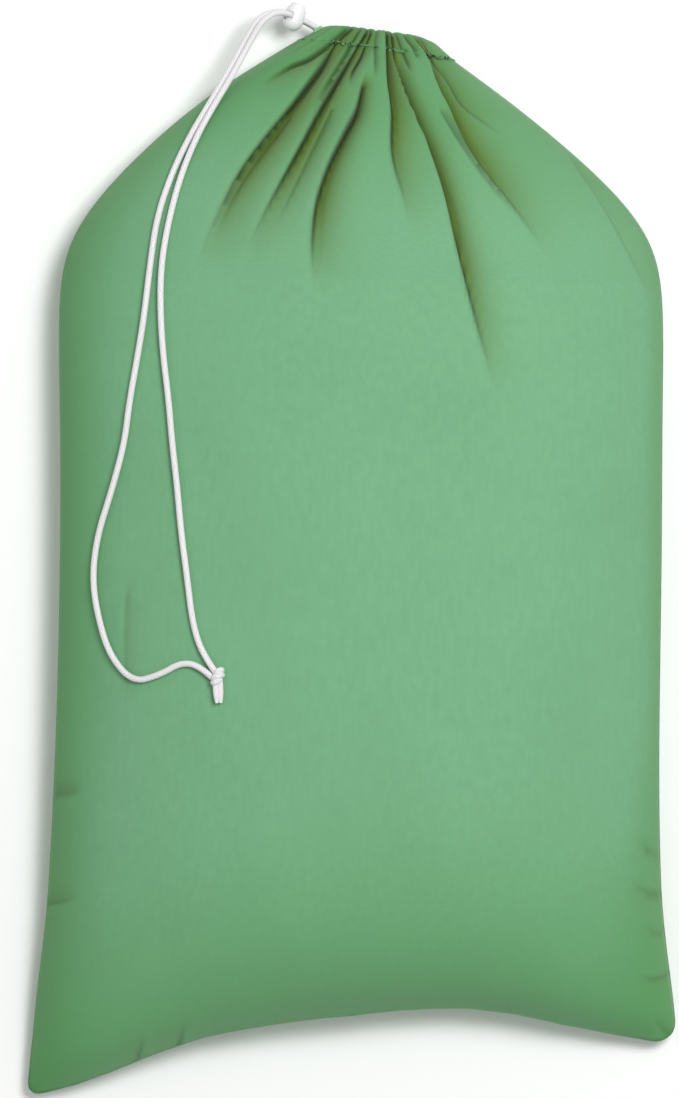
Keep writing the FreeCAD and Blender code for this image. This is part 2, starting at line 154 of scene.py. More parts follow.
def cottonMaterial(name):
    # plain weave of slightly uneven yarns, read from the piece's own flat coordinates in metres
    look = cottonLook
    material, tree, shader = newMaterial(name)
    link = tree.links.new
    flat = addNode(tree, "ShaderNodeUVMap", uv_map="flat")
    place = addNode(tree, "ShaderNodeTexCoord")
    bands = []
    for direction in ("X", "Y"):
        wave = addNode(tree, "ShaderNodeTexWave", wave_type="BANDS", bands_direction=direction)
        wave.inputs["Scale"].default_value = 1 / look["threadPitch"] / 20 * math.pi
        wave.inputs["Distortion"].default_value = 1.2
        wave.inputs["Detail"].default_value = 1
        wave.inputs["Detail Scale"].default_value = 0.4
        link(flat.outputs["UV"], wave.inputs["Vector"])
        bands.append(wave)
    weave = addNode(tree, "ShaderNodeMath", operation="MULTIPLY")
    link(bands[0].outputs["Fac"], weave.inputs[0])
    link(bands[1].outputs["Fac"], weave.inputs[1])
    slub = addNode(tree, "ShaderNodeTexNoise", Scale=1 / look["slubPitch"], Detail=3)
    link(flat.outputs["UV"], slub.inputs["Vector"])
    cloud = addNode(tree, "ShaderNodeTexNoise", Scale=9, Detail=3, Roughness=0.55)
    link(place.outputs["Object"], cloud.inputs["Vector"])
    tone = addRange(tree, look["cloudRange"])
    tone.inputs["From Min"].default_value = 0.3
    tone.inputs["From Max"].default_value = 0.7
    link(cloud.outputs["Fac"], tone.inputs["Value"])
    body = addNode(tree, "ShaderNodeMix", data_type="RGBA")
    body.inputs["A"].default_value = look["colour"]
    body.inputs["B"].default_value = look["shadeColour"]
    link(tone.outputs["Result"], body.inputs["Factor"])
    yarn = addRange(tree, look["slubRange"])
    link(slub.outputs["Fac"], yarn.inputs["Value"])
    yarned = addNode(tree, "ShaderNodeVectorMath", operation="SCALE")
    link(body.outputs["Result"], yarned.inputs[0])
    link(yarn.outputs["Result"], yarned.inputs["Scale"])
    shade = yarned.outputs["Vector"]
    # painted shade mixed over the cloth's colour: a deeper green near the seams, foot and gathers, an olive
    # in the folds' valleys and a dark line at each fold's foot
    for attribute in ("deep", "creaseShade", "cavityShade"):
        painted = addNode(tree, "ShaderNodeAttribute", attribute_name=attribute)
        mixed = addNode(tree, "ShaderNodeMix", data_type="RGBA")
        mixed.inputs["B"].default_value = look[attribute + "Colour"]
        link(painted.outputs["Fac"], mixed.inputs["Factor"])
        link(shade, mixed.inputs["A"])
        shade = mixed.outputs["Result"]
    link(shade, shader.inputs["Base Color"])
    raised = addNode(tree, "ShaderNodeMath", operation="ADD")
    link(weave.outputs["Value"], raised.inputs[0])
    link(slub.outputs["Fac"], raised.inputs[1])
    addBump(tree, shader, raised.outputs["Value"], look["bump"], 0.00025)
    shader.inputs["Roughness"].default_value = look["roughness"]
    shader.inputs["Specular IOR Level"].default_value = look["specular"]
    shader.inputs["Sheen Weight"].default_value = look["sheen"]
    shader.inputs["Sheen Roughness"].default_value = 0.5
    return material


cordLook = {
    "yarnColour": (0.84, 0.82, 0.84, 1),
    # painted shade in the grooves between the yarns
    "grooveShadeColour": (0.36, 0.33, 0.36, 1),
    "toneRange": (0.93, 1.03),
    "fuzz": 0.3,
    "roughness": 0.8,
    "sheen": 0.2,
}


def cordMaterial():
    # soft white yarns, with painted shade in the grooves between them
    look = cordLook
    material, tree, shader = newMaterial("whiteCord")
    link = tree.links.new
    place = addNode(tree, "ShaderNodeTexCoord")
    fuzz = addNode(tree, "ShaderNodeTexNoise", Scale=900, Detail=2)
    link(place.outputs["Object"], fuzz.inputs["Vector"])
    soil = addNode(tree, "ShaderNodeTexNoise", Scale=30, Detail=2)
    link(place.outputs["Object"], soil.inputs["Vector"])
    grooveShade = addNode(tree, "ShaderNodeAttribute", attribute_name="grooveShade")
    colour = addNode(tree, "ShaderNodeMix", data_type="RGBA")
    colour.inputs["A"].default_value = look["yarnColour"]
    colour.inputs["B"].default_value = look["grooveShadeColour"]
    link(grooveShade.outputs["Fac"], colour.inputs["Factor"])
    tone = addRange(tree, look["toneRange"])
    link(soil.outputs["Fac"], tone.inputs["Value"])
    toned = addNode(tree, "ShaderNodeVectorMath", operation="SCALE")
    link(colour.outputs["Result"], toned.inputs[0])
    link(tone.outputs["Result"], toned.inputs["Scale"])
    link(toned.outputs["Vector"], shader.inputs["Base Color"])
    addBump(tree, shader, fuzz.outputs["Fac"], look["fuzz"], 0.0002)
    shader.inputs["Roughness"].default_value = look["roughness"]
    shader.inputs["Sheen Weight"].default_value = look["sheen"]
    return material


plasticLook = {
    "colour": (0.86, 0.85, 0.87, 1),
    "scuffColour": (0.78, 0.77, 0.79, 1),
    "roughness": (0.32, 0.48),
    "grain": 0.08,
}


def plasticMaterial():
    # moulded plastic, a little scuffed
    look = plasticLook
    material, tree, shader = newMaterial("whitePlastic")
    link = tree.links.new
    place = addNode(tree, "ShaderNodeTexCoord")
    grain = addNode(tree, "ShaderNodeTexNoise", Scale=700, Detail=2)
    link(place.outputs["Object"], grain.inputs["Vector"])
    scuff = addNode(tree, "ShaderNodeTexNoise", Scale=60, Detail=4)
    link(place.outputs["Object"], scuff.inputs["Vector"])
    tone = addNode(tree, "ShaderNodeMix", data_type="RGBA")
    tone.inputs["A"].default_value = look["colour"]
    tone.inputs["B"].default_value = look["scuffColour"]
    link(scuff.outputs["Fac"], tone.inputs["Factor"])
    link(tone.outputs["Result"], shader.inputs["Base Color"])
    worn = addRange(tree, look["roughness"])
    link(scuff.outputs["Fac"], worn.inputs["Value"])
    link(worn.outputs["Result"], shader.inputs["Roughness"])
    addBump(tree, shader, grain.outputs["Fac"], look["grain"], 0.0001)
    return material


steelLook = {
    "colour": (0.62, 0.62, 0.64, 1),
    "roughness": (0.2, 0.4),
}


def steelMaterial():
    # drawn spring wire
    look = steelLook
    material, tree, shader = newMaterial("springSteel")
    link = tree.links.new
    place = addNode(tree, "ShaderNodeTexCoord")
    drawn = addNode(tree, "ShaderNodeTexNoise", Scale=400, Detail=3)
    link(place.outputs["Object"], drawn.inputs["Vector"])
    rough = addRange(tree, look["roughness"])
    link(drawn.outputs["Fac"], rough.inputs["Value"])
    link(rough.outputs["Result"], shader.inputs["Roughness"])
    shader.inputs["Base Color"].default_value = look["colour"]
    shader.inputs["Metallic"].default_value = 1.0
    return material


threadLook = {
    "colour": (0.185, 0.425, 0.230, 1),
    "paleColour": (0.235, 0.520, 0.295, 1),
    "ply": 0.4,
    "roughness": 0.75,
}


def threadMaterial():
    # sewing thread, mottled by its twist
    look = threadLook
    material, tree, shader = newMaterial("greenThread")
    link = tree.links.new
    place = addNode(tree, "ShaderNodeTexCoord")
    ply = addNode(tree, "ShaderNodeTexNoise", Scale=1500, Detail=2)
    link(place.outputs["Object"], ply.inputs["Vector"])
    tone = addNode(tree, "ShaderNodeMix", data_type="RGBA")
    tone.inputs["A"].default_value = look["colour"]
    tone.inputs["B"].default_value = look["paleColour"]
    link(ply.outputs["Fac"], tone.inputs["Factor"])
    link(tone.outputs["Result"], shader.inputs["Base Color"])
    addBump(tree, shader, ply.outputs["Fac"], look["ply"], 0.0001)
    shader.inputs["Roughness"].default_value = look["roughness"]
    return material


cotton = cottonMaterial("greenCotton")
whiteCord = cordMaterial()
whitePlastic = plasticMaterial()
springSteel = steelMaterial()
greenThread = threadMaterial()
print("materials made")

# the drawstring: two strands from the casing's exit through the lock to one knot
drawstring = {
    "diameter": 0.0055,
    "rightLength": 0.701,
    "leftLength": 0.814,
    "around": 28,  # faces round the cord
    "step": 0.0009,  # between rings of faces
    "carriers": 8,  # yarns that wind each way round the cord
    "braidPitch": 0.022,  # length of one full turn of a yarn
    "relief": 0.00022,  # height of a yarn
    "reliefLevel": 0.7,  # share of the relief that stands inside the cord's own thickness
    "rightRoute": [
        (-0.0264, 0.4837, 0.0318),
        (-0.0392, 0.4916, 0.0318),
        (-0.0654, 0.5005, 0.0568),
        (-0.0815, 0.4905, 0.0620),
        (-0.0910, 0.4742, 0.0610),
        (-0.1016, 0.4538, 0.0650),
        (-0.1124, 0.4328, 0.0735),
        (-0.1245, 0.4118, 0.0835),
        (-0.1400, 0.3820, 0.0985),
        (-0.1540, 0.3450, 0.1160),
        (-0.1645, 0.3030, 0.1320),
        (-0.1710, 0.2620, 0.1405),
        (-0.1715, 0.2220, 0.1445),
        (-0.1690, 0.1830, 0.1470),
        (-0.1640, 0.1430, 0.1495),
        (-0.1606, 0.1030, 0.1513),
        (-0.1560, 0.0630, 0.1525),
        (-0.1525, 0.0230, 0.1535),
        (-0.1470, -0.0180, 0.1555),
        (-0.1425, -0.0560, 0.1570),
        (-0.1340, -0.0840, 0.1600),
        (-0.1220, -0.1005, 0.1635),
    ],
    "leftRoute": [
        (-0.0267, 0.48335, 0.0260),
        (-0.0412, 0.4924, 0.0260),
        (-0.0686, 0.5015, 0.0520),
        (-0.0855, 0.4930, 0.0575),
        (-0.0950, 0.4768, 0.0565),
        (-0.1054, 0.4562, 0.0600),
        (-0.1166, 0.4352, 0.0685),
        (-0.1289, 0.4136, 0.0775),
        (-0.1460, 0.3830, 0.0940),
        (-0.1615, 0.3490, 0.1105),
        (-0.1750, 0.3070, 0.1265),
        (-0.1810, 0.2620, 0.1365),
        (-0.1860, 0.2170, 0.1395),
        (-0.1925, 0.1780, 0.1380),
        (-0.1995, 0.1400, 0.1350),
        (-0.2040, 0.1030, 0.1330),
        (-0.2160, 0.0600, 0.1265),
        (-0.2290, 0.0210, 0.1175),
        (-0.2340, -0.0180, 0.1140),
        (-0.2280, -0.0550, 0.1185),
        (-0.2170, -0.0880, 0.1260),
        (-0.1960, -0.1110, 0.1370),
        (-0.1720, -0.1040, 0.1480),
        (-0.1520, -0.0925, 0.1545),
        (-0.1360, -0.0955, 0.1593),
        (-0.1245, -0.1060, 0.1633),
    ],
}


def cordCurve(name, route, diameter, steps, around=0, radii=None):
    data = bpy.data.curves.new(name, "CURVE")
    data.dimensions = "3D"
    data.resolution_u = steps
    spline = data.splines.new("NURBS")
    spline.points.add(len(route) - 1)
    for point, place, radius in zip(spline.points, route, radii or [1] * len(route)):
        point.co = (*place, 1)
        point.radius = radius
    spline.order_u = 3
    spline.use_endpoint_u = True
    if around:
        data.bevel_depth = diameter / 2
        data.bevel_resolution = around // 2 - 2
        data.use_fill_caps = True
    return bpy.data.objects.new(name, data)


def meshOf(curve):
    # the curve's own mesh; the curve goes
    scene.collection.objects.link(curve)
    bpy.context.view_layer.update()
    shaped = curve.evaluated_get(bpy.context.evaluated_depsgraph_get())
    mesh = bpy.data.meshes.new_from_object(shaped)
    data = curve.data
    bpy.data.objects.remove(curve)
    bpy.data.curves.remove(data)
    return mesh


def braid(piece, line, facts):
    # yarns that wind both ways round the cord, over one and under one
    points = readPoints(piece)
    around = facts["around"]
    rings = len(line)
    body = points[: rings * around].reshape(rings, around, 3)
    centres = np.array(line)[:, None, :]
    out = body - centres
    out /= np.linalg.norm(out, axis=2, keepdims=True)
    along = np.concatenate([[0], np.cumsum(np.linalg.norm(np.diff(line, axis=0), axis=1))])
    turn = np.arange(around)[None, :] / around * 2 * math.pi
    wind = along[:, None] / facts["braidPitch"] * 2 * math.pi
    yarns = facts["carriers"]
    rightYarn = np.cos(yarns / 2 * (turn + wind))
    leftYarn = np.cos(yarns / 2 * (turn - wind))
    over = np.sign(np.sin(yarns / 4 * (turn + wind)) * np.sin(yarns / 4 * (turn - wind)))
    height = np.where(over > 0, np.abs(rightYarn), np.abs(leftYarn))
    height = 1 - (1 - height) ** 2
    body += out * ((height - facts["reliefLevel"]) * facts["relief"])[:, :, None]
    points[: rings * around] = body.reshape(-1, 3)
    writePoints(piece, points)
    # painted shade in the grooves between the yarns
    grooveShade = piece.data.attributes.new("grooveShade", "FLOAT", "POINT")
    shade = np.zeros(len(points))
    shade[: rings * around] = np.clip(1 - height, 0, 1).ravel() ** 1.5
    grooveShade.data.foreach_set("value", shade)


def makeCord(name, route, facts, radii=None):
    runs = len(route) - 2
    length = sum((Vector(b) - Vector(a)).length for a, b in zip(route, route[1:]))
    steps = max(4, round(length / runs / facts["step"]))
    line = [v.co.copy() for v in meshOf(cordCurve(name, route, facts["diameter"], steps)).vertices]
    mesh = meshOf(cordCurve(name, route, facts["diameter"], steps, facts["around"], radii))
    piece = bpy.data.objects.new(name, mesh)
    scene.collection.objects.link(piece)
    for polygon in mesh.polygons:
        polygon.use_smooth = True
    braid(piece, [tuple(p) for p in line], facts)
    mesh.materials.clear()
    mesh.materials.append(whiteCord)
    return piece, line


def makeStrands():
    facts = drawstring
    made = []
    for side in ("right", "left"):
        piece, line = makeCord(side + "Strand", facts[side + "Route"], facts)
        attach(piece, "bag")
        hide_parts("drawstring_" + side + "_strand")
        made.append((piece, line))
    return made


(rightStrand, rightLine), (leftStrand, leftLine) = makeStrands()

# the end knot: both strands wound round themselves, with their two ends side by side
knot = {
    "top": (-0.1205, -0.0970, 0.1638),
    "tailEnd": (-0.1180, -0.1290, 0.1650),
    "wraps": 2.3,
    "wrapStart": 0.6,  # turn where the first wrap begins, in radians
    "wrapRadius": 0.0042,
    "wrapTuck": 0.35,  # share of the radius at the wraps' two ends, tucked into the knot
    "wrapFrom": 0.0030,  # along the knot from its top
    "wrapTo": 0.0125,
    "wrapLean": 0.0022,
    "pointsPerWrap": 9,
    "tailFrom": 0.0060,
    "tailTo": 0.0315,
    "tailSpread": 0.0016,
    "tailLift": 0.0004,
    "tailRadii": [1, 1, 1, 0.98, 0.86, 0.5],
}


def joinPieces(name, parts):
    with bpy.context.temp_override(active_object=parts[0], selected_editable_objects=parts):
        bpy.ops.object.join()
    parts[0].name = name
    return parts[0]


def makeKnot():
    top = Vector(knot["top"])
    down = (Vector(knot["tailEnd"]) - top).normalized()
    side = down.cross(Vector((0, 0, 1))).normalized()
    up = side.cross(down)
    count = round(knot["wraps"] * knot["pointsPerWrap"])
    wrap = []
    for i in range(count + 1):
        share = i / count
        turn = share * knot["wraps"] * 2 * math.pi + knot["wrapStart"]
        opened = math.sin(math.pi * min(1, 0.12 + 6 * min(share, 1 - share)) / 2)
        radius = knot["wrapRadius"] * (knot["wrapTuck"] + (1 - knot["wrapTuck"]) * opened)
        along = knot["wrapFrom"] + (knot["wrapTo"] - knot["wrapFrom"]) * share
        along += knot["wrapLean"] * math.cos(turn)
        out = side * radius * math.cos(turn) + up * radius * math.sin(turn)
        wrap.append(tuple(top + down * along + out))
    parts = [makeCord("knotWrap", wrap, drawstring)[0]]
    for sign in (-1, 1):
        tail = []
        steps = len(knot["tailRadii"]) - 1
        for i in range(steps + 1):
            share = i / steps
            along = knot["tailFrom"] + (knot["tailTo"] - knot["tailFrom"]) * share
            sideways = sign * knot["tailSpread"] * (1 + 0.25 * math.sin(3 * share)) + 0.0006 * share
            lift = knot["tailLift"] * (sign - math.sin(math.pi * share))
            tail.append(tuple(top + down * along + side * sideways + up * lift))
        parts.append(makeCord("knotTail", tail, drawstring, knot["tailRadii"])[0])
    piece = joinPieces("endKnot", parts)
    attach(piece, "bag")
    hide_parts("end_knot")
    return piece


endKnot = makeKnot()
print("cords made")

# the stuffed bag's form, the same net of points as the frame's panels
bagForm = {
    "width": 0.548,
    "length": 0.980,
    "height": 0.170,
    "sideSeamHeight": 0.060,
    "cornerHeight": 0.020,
    "bottomSeamHeight": 0.065,
    "flatWidth": 0.610,  # each panel as it was cut
    "flatLength": 1.016,
    "cloth": 0.0009,
    "columns": [-1, -0.97, -0.9, -0.78, -0.6, -0.4, -0.2, 0, 0.2, 0.4, 0.6, 0.78, 0.9, 0.97, 1],
    "outline": [  # left edge x, y, right edge x, y and bow, as shares, bottom seam first
        (-0.537, -0.5003, 0.5370, -0.447, 0.052),
        (-0.536, -0.484, 0.5370, -0.434, 0.052),
        (-0.529, -0.451, 0.5320, -0.407, 0.049),
        (-0.518, -0.388, 0.5220, -0.357, 0.041),
        (-0.505, -0.296, 0.5130, -0.275, 0.029),
        (-0.492, -0.163, 0.5110, -0.158, 0.013),
        (-0.485, 0.000, 0.5160, 0.000, 0.000),
        (-0.485, 0.133, 0.5160, 0.133, 0.000),
        (-0.490, 0.228, 0.5200, 0.228, 0.000),
        (-0.480, 0.293, 0.5090, 0.293, 0.000),
        (-0.402, 0.353, 0.4240, 0.352, 0.000),
        (-0.256, 0.429, 0.2740, 0.423, 0.000),
        (-0.161, 0.461, 0.2150, 0.447, 0.000),
    ],
    "heights": [  # side seam, crown, lift of the back, fullness
        (0.00, 0.382, 1.00, 2.0),
        (0.05, 0.600, 0.50, 2.2),
        (0.15, 0.775, 0.15, 2.2),
        (0.40, 0.915, 0.00, 2.2),
        (0.70, 0.990, 0.00, 2.2),
        (0.93, 1.000, 0.00, 2.2),
        (1.00, 1.000, 0.00, 2.2),
        (1.00, 1.000, 0.00, 2.2),
        (0.95, 0.988, 0.00, 2.2),
        (0.85, 0.941, 0.00, 2.2),
        (0.70, 0.824, 0.00, 2.2),
        (0.50, 0.618, 0.00, 2.6),
        (0.40, 0.500, 0.00, 3.5),
    ],
    "flatShare": 0.6,
}
mouth = {
    "centre": (0.02466, 0.48363, 0.027),
    "tilt": math.radians(7.5),
    "halfWidth": 0.048,
    "halfHeight": 0.025,
    "depth": 0.020,
    "flareWidth": 0.028,
    "flareHeight": 0.007,
    "holeHalfWidth": 0.028,
    "holeHalfHeight": 0.0095,
    "holeFlareWidth": 0.008,
    "holeFlareHeight": 0.0045,
    "setback": 0.0008,  # how far inside its flare the neck's cloth stands
    "fullness": 5.0,
}


def mouthToBag(points):
    # from the mouth's own frame, X across it and Y out of it, to the bag's
    points = np.asarray(points, float)
    c, s = math.cos(mouth["tilt"]), math.sin(mouth["tilt"])
    x, y, z = points[..., 0], points[..., 1], points[..., 2]
    placed = np.stack([x * c + y * s, -x * s + y * c, z], axis=-1)
    return placed + np.array(mouth["centre"])


def crownShare(t, full):
    return (1 - np.abs(t) ** full) ** 0.55


def neckShare(t):
    # the neck's section as the panels' spline rounds it
    columns = np.array(bagForm["columns"], float)
    shares = splineShares(len(columns), np.linspace(0, len(columns) - 3, 2001))
    return np.interp(t, shares @ columns, shares @ crownShare(columns, mouth["fullness"]))


def floorShare(t):
    past = np.maximum(0, np.abs(t) - bagForm["flatShare"]) / (1 - bagForm["flatShare"])
    return (1 - past**2) ** 0.75


def panelNet(front):
    form = bagForm
    t = np.array(form["columns"], float)
    net = []
    for (lx, ly, rx, ry, bow), (seam, crown, lift, full) in zip(form["outline"], form["heights"]):
        z = form["cornerHeight"] + (form["sideSeamHeight"] - form["cornerHeight"]) * seam
        share = (1 + t) / 2
        x = (lx * (1 - share) + rx * share) * form["width"]
        y = (ly * (1 - share) + ry * share + bow * (1 - t * t)) * form["length"]
        if not net:
            height = z + (form["bottomSeamHeight"] - z) * (1 - t * t)
        elif front:
            height = z + (crown * form["height"] - z) * crownShare(t, full)
        else:
            height = z + (lift * form["bottomSeamHeight"] - z) * floorShare(t)
        net.append(np.stack([x, y, height], axis=1))
    half = mouth["halfWidth"] + mouth["flareWidth"] - mouth["setback"]
    tall = mouth["halfHeight"] + mouth["flareHeight"] - mouth["setback"]
    side = tall * crownShare(t, mouth["fullness"]) * (1 if front else -1)
    neck = np.stack([half * t, np.full_like(t, -mouth["depth"]), mouth["flareHeight"] + side], axis=1)
    net.append(mouthToBag(neck))
    return np.array(net)


def splineShares(count, places):
    # share of each of the count points in a clamped cubic, at every place along it
    knots = np.concatenate([np.zeros(3), np.arange(count - 2), np.full(3, count - 3)])
    places = np.clip(places, 0, count - 3 - 1e-9)[:, None]
    shares = ((knots[:-1] <= places) & (places < knots[1:])).astype(float)
    for degree in (1, 2, 3):
        last = len(knots) - degree - 1
        rise = knots[degree : degree + last] - knots[:last]
        fall = knots[degree + 1 : degree + 1 + last] - knots[1 : 1 + last]
        up = np.divide(places - knots[:last], rise, out=np.zeros((len(places), last)), where=rise > 0)
        down = np.divide(
            knots[degree + 1 : degree + 1 + last] - places,
            fall,
            out=np.zeros((len(places), last)),
            where=fall > 0,
        )
        shares = up * shares[:, :last] + down * shares[:, 1 : last + 1]
    return shares


def netPoints(net, along, across):
    rows = splineShares(len(net), along)
    columns = splineShares(net.shape[1], across)
    return np.einsum("ri,cj,ijk->rck", rows, columns, net)


# where the rows and columns of faces lie on the net, closer together at the gathers and seams
panelMesh = {
    "frontColumns": 172,
    "frontRows": 262,
    "backColumns": 110,
    "backRows": 150,
    "gatherStart": 7.4,  # knot line where the folds begin to show
    "gatherShare": 0.62,  # share of the rows that lie above it
    "crowdReach": 2.4,  # how far from a fold points are drawn to it, in the mesh's own steps
    "crowdPull": 0.72,
}


def rowPlaces(count):
    below = round(count * (1 - panelMesh["gatherShare"]))
    low = np.linspace(0, panelMesh["gatherStart"], below, endpoint=False)
    high = np.linspace(panelMesh["gatherStart"], len(bagForm["outline"]) - 2, count + 1 - below)
    return np.concatenate([low, high])


def columnPlaces(count):
    # even steps across the bag, except that the net's own columns crowd at the seams
    fine = np.linspace(0, len(bagForm["columns"]) - 3, 2000)
    t = splineShares(len(bagForm["columns"]), fine) @ np.array(bagForm["columns"], float)
    even = np.linspace(-1, 1, count + 1)
    rounded = np.sin(even * math.pi / 2)
    return np.interp(0.8 * even + 0.2 * rounded, t, fine)


# folds that run down from the gathers: each starts at the mouth and fades along its line
folds = [
    {"line": [(0.037, 0.457), (0.045, 0.427), (0.057, 0.396), (0.069, 0.367), (0.0795, 0.335),
              (0.089, 0.295), (0.0985, 0.254), (0.1085, 0.215), (0.119, 0.178), (0.130, 0.140)],
     "depth": 0.017, "crest": 0.0035, "width": (0.007, 0.015), "fade": 0.8},
    {"line": [(0.030, 0.460), (0.031, 0.432), (0.034, 0.409), (0.035, 0.362), (0.046, 0.319),
              (0.057, 0.270)],
     "depth": 0.010, "crest": 0.002, "width": (0.006, 0.022), "fade": 1.2},
    {"line": [(0.008, 0.428), (0.003, 0.410), (-0.010, 0.382), (-0.023, 0.353), (-0.033, 0.320),
              (-0.037, 0.284), (-0.033, 0.230)],
     "depth": 0.015, "crest": 0.003, "width": (0.007, 0.022), "fade": 0.9},
    {"line": [(0.008, 0.476), (-0.007, 0.452), (-0.023, 0.422), (-0.043, 0.382), (-0.064, 0.341),
              (-0.085, 0.298), (-0.106, 0.250)],
     "depth": 0.012, "crest": 0.003, "width": (0.006, 0.022), "fade": 1.0},
    {"line": [(0.015, 0.480), (0.008, 0.462), (-0.001, 0.443), (-0.004, 0.425)],
     "depth": 0.009, "crest": 0.002, "width": (0.004, 0.007), "fade": 0.8},
    {"line": [(-0.019, 0.468), (-0.032, 0.446), (-0.053, 0.415), (-0.078, 0.383), (-0.102, 0.348),
              (-0.122, 0.306), (-0.144, 0.250)],
     "depth": 0.010, "crest": 0.002, "width": (0.007, 0.026), "fade": 0.9},
    {"line": [(-0.008, 0.484), (-0.016, 0.477), (-0.028, 0.466), (-0.043, 0.455), (-0.055, 0.450),
              (-0.066, 0.443), (-0.092, 0.424)],
     "depth": 0.007, "crest": 0.002, "width": (0.005, 0.014), "fade": 1.0},
    {"line": [(0.069, 0.452), (0.076, 0.431), (0.086, 0.410), (0.104, 0.372), (0.121, 0.345),
              (0.139, 0.321), (0.162, 0.289), (0.187, 0.255)],
     "depth": 0.012, "crest": 0.003, "width": (0.006, 0.022), "fade": 1.1},
    {"line": [(0.064, 0.473), (0.071, 0.458), (0.081, 0.445), (0.089, 0.431), (0.099, 0.412),
              (0.121, 0.392), (0.150, 0.372)],
     "depth": 0.006, "crest": 0.001, "width": (0.005, 0.018), "fade": 1.0},
    {"line": [(0.040, 0.477), (0.049, 0.453), (0.054, 0.440)],
     "depth": 0.006, "crest": 0.001, "width": (0.003, 0.005), "fade": 0.7},
    {"line": [(0.048, 0.475), (0.055, 0.464), (0.060, 0.452)],
     "depth": 0.005, "crest": 0.001, "width": (0.003, 0.005), "fade": 0.7},
    {"line": [(0.020, 0.474), (0.020, 0.448), (0.019, 0.430)],
     "depth": 0.004, "crest": 0.001, "width": (0.003, 0.006), "fade": 0.8},
    {"line": [(0.002, 0.478), (-0.006, 0.464), (-0.016, 0.446), (-0.030, 0.420), (-0.041, 0.402)],
     "depth": 0.006, "crest": 0.002, "width": (0.003, 0.008), "fade": 0.8},
    {"line": [(-0.060, 0.400), (-0.085, 0.366), (-0.106, 0.330), (-0.128, 0.282)],
     "depth": 0.004, "crest": 0.001, "width": (0.008, 0.018), "fade": 0.9},
    {"line": [(-0.020, 0.405), (-0.040, 0.362), (-0.058, 0.322), (-0.076, 0.284)],
     "depth": 0.004, "crest": 0.001, "width": (0.007, 0.015), "fade": 0.9},
    {"line": [(0.080, 0.402), (0.098, 0.370), (0.122, 0.334), (0.150, 0.300)],
     "depth": 0.003, "crest": 0.001, "width": (0.007, 0.015), "fade": 0.9},
    {"line": [(0.200, 0.360), (0.225, 0.320), (0.247, 0.277), (0.268, 0.235)],
     "depth": 0.0012, "crest": 0.0004, "width": (0.008, 0.014), "fade": 0.6},
    {"line": [(-0.204, -0.030), (-0.206, -0.075), (-0.203, -0.120)],
     "depth": 0.0016, "crest": 0.0005, "width": (0.008, 0.012), "fade": 0.4},
    {"line": [(-0.272, -0.216), (-0.256, -0.214), (-0.238, -0.208)],
     "depth": 0.0019, "crest": 0.0008, "width": (0.007, 0.014), "fade": 1.1},
    {"line": [(-0.279, -0.318), (-0.262, -0.312), (-0.243, -0.305)],
     "depth": 0.0019, "crest": 0.0008, "width": (0.007, 0.015), "fade": 1.1},
    {"line": [(0.282, -0.272), (0.272, -0.266), (0.258, -0.252)],
     "depth": 0.0016, "crest": 0.0006, "width": (0.005, 0.009), "fade": 1.0},
    {"line": [(0.286, -0.306), (0.273, -0.304), (0.250, -0.292)],
     "depth": 0.0019, "crest": 0.0008, "width": (0.007, 0.014), "fade": 1.0},
    {"line": [(0.290, -0.338), (0.279, -0.340), (0.262, -0.330)],
     "depth": 0.0014, "crest": 0.0006, "width": (0.004, 0.008), "fade": 1.0},
    {"line": [(0.293, -0.372), (0.281, -0.376), (0.256, -0.372)],
     "depth": 0.0017, "crest": 0.0008, "width": (0.007, 0.013), "fade": 1.0},
    {"line": [(-0.196, -0.462), (-0.192, -0.445), (-0.186, -0.425)],
     "depth": 0.0015, "crest": 0.0006, "width": (0.007, 0.012), "fade": 1.0},
    {"line": [(-0.158, -0.450), (-0.154, -0.434), (-0.150, -0.415)],
     "depth": 0.0015, "crest": 0.0006, "width": (0.007, 0.012), "fade": 1.0},
    {"line": [(0.150, -0.430), (0.146, -0.414), (0.140, -0.398)],
     "depth": 0.0015, "crest": 0.0006, "width": (0.007, 0.012), "fade": 1.0},
]
foldShape = {
    "step": 0.0012,  # half the width of the steep side, where the fold starts
    "stepGrowth": 0.25,  # how much wider it gets along the fold, as a share of the fold's width
    "startShare": 0.45,  # share of its depth that a fold has at its start
    "startReach": 0.14,  # share of its line over which it gets the rest
    "lean": 0.0030,  # how far the crest hangs over the steep side
    "leanReach": 0.004,
    "pocketDepth": 0.0065,  # narrow pocket at the foot of the steep side
    "pocketWidth": 0.0019,
    "pocketPlace": 0.24,  # from the steep side, as a share of the fold's width
    "pocketFrom": 0.012,  # depth of a fold whose pocket and lean are whole
    "creaseShadeFrom": 0.010,  # depth of a fold whose painted shade in the valley is whole
    "cavityFrom": 0.009,  # depth of a fold whose painted dark line is whole
    "cavityWidth": 0.0017,  # half width of the dark line
    "cavityPlace": 0.0012,
}
gatherLimit = {
    "casing": 0.0031,  # deepest that a fold may be over the cord
    "below": 0.55,  # how much deeper it may get for each metre below the casing
}


def mouthDepth(points):
    # how far below the mouth's edge a place lies
    away = np.asarray(points) - np.array(mouth["centre"])
    c, s = math.cos(mouth["tilt"]), math.sin(mouth["tilt"])
    return -(away[:, 0] * s + away[:, 1] * c)


def overCasing(points):
    # a fold that starts at the neck runs on over the casing to the mouth's edge
    x, y = np.array(points[0]) - np.array(mouth["centre"])[:2]
    c, s = math.cos(mouth["tilt"]), math.sin(mouth["tilt"])
    across, depth = x * c - y * s, -(x * s + y * c)
    if not 0.004 < depth < 0.05:
        return points
    gain = mouth["flareWidth"] / mouth["depth"] * min(depth, 1.4 * mouth["depth"])
    edge = mouthToBag([(across * mouth["halfWidth"] / (mouth["halfWidth"] + gain), 0.001, 0)])
    return [tuple(edge[0][:2]), *points]


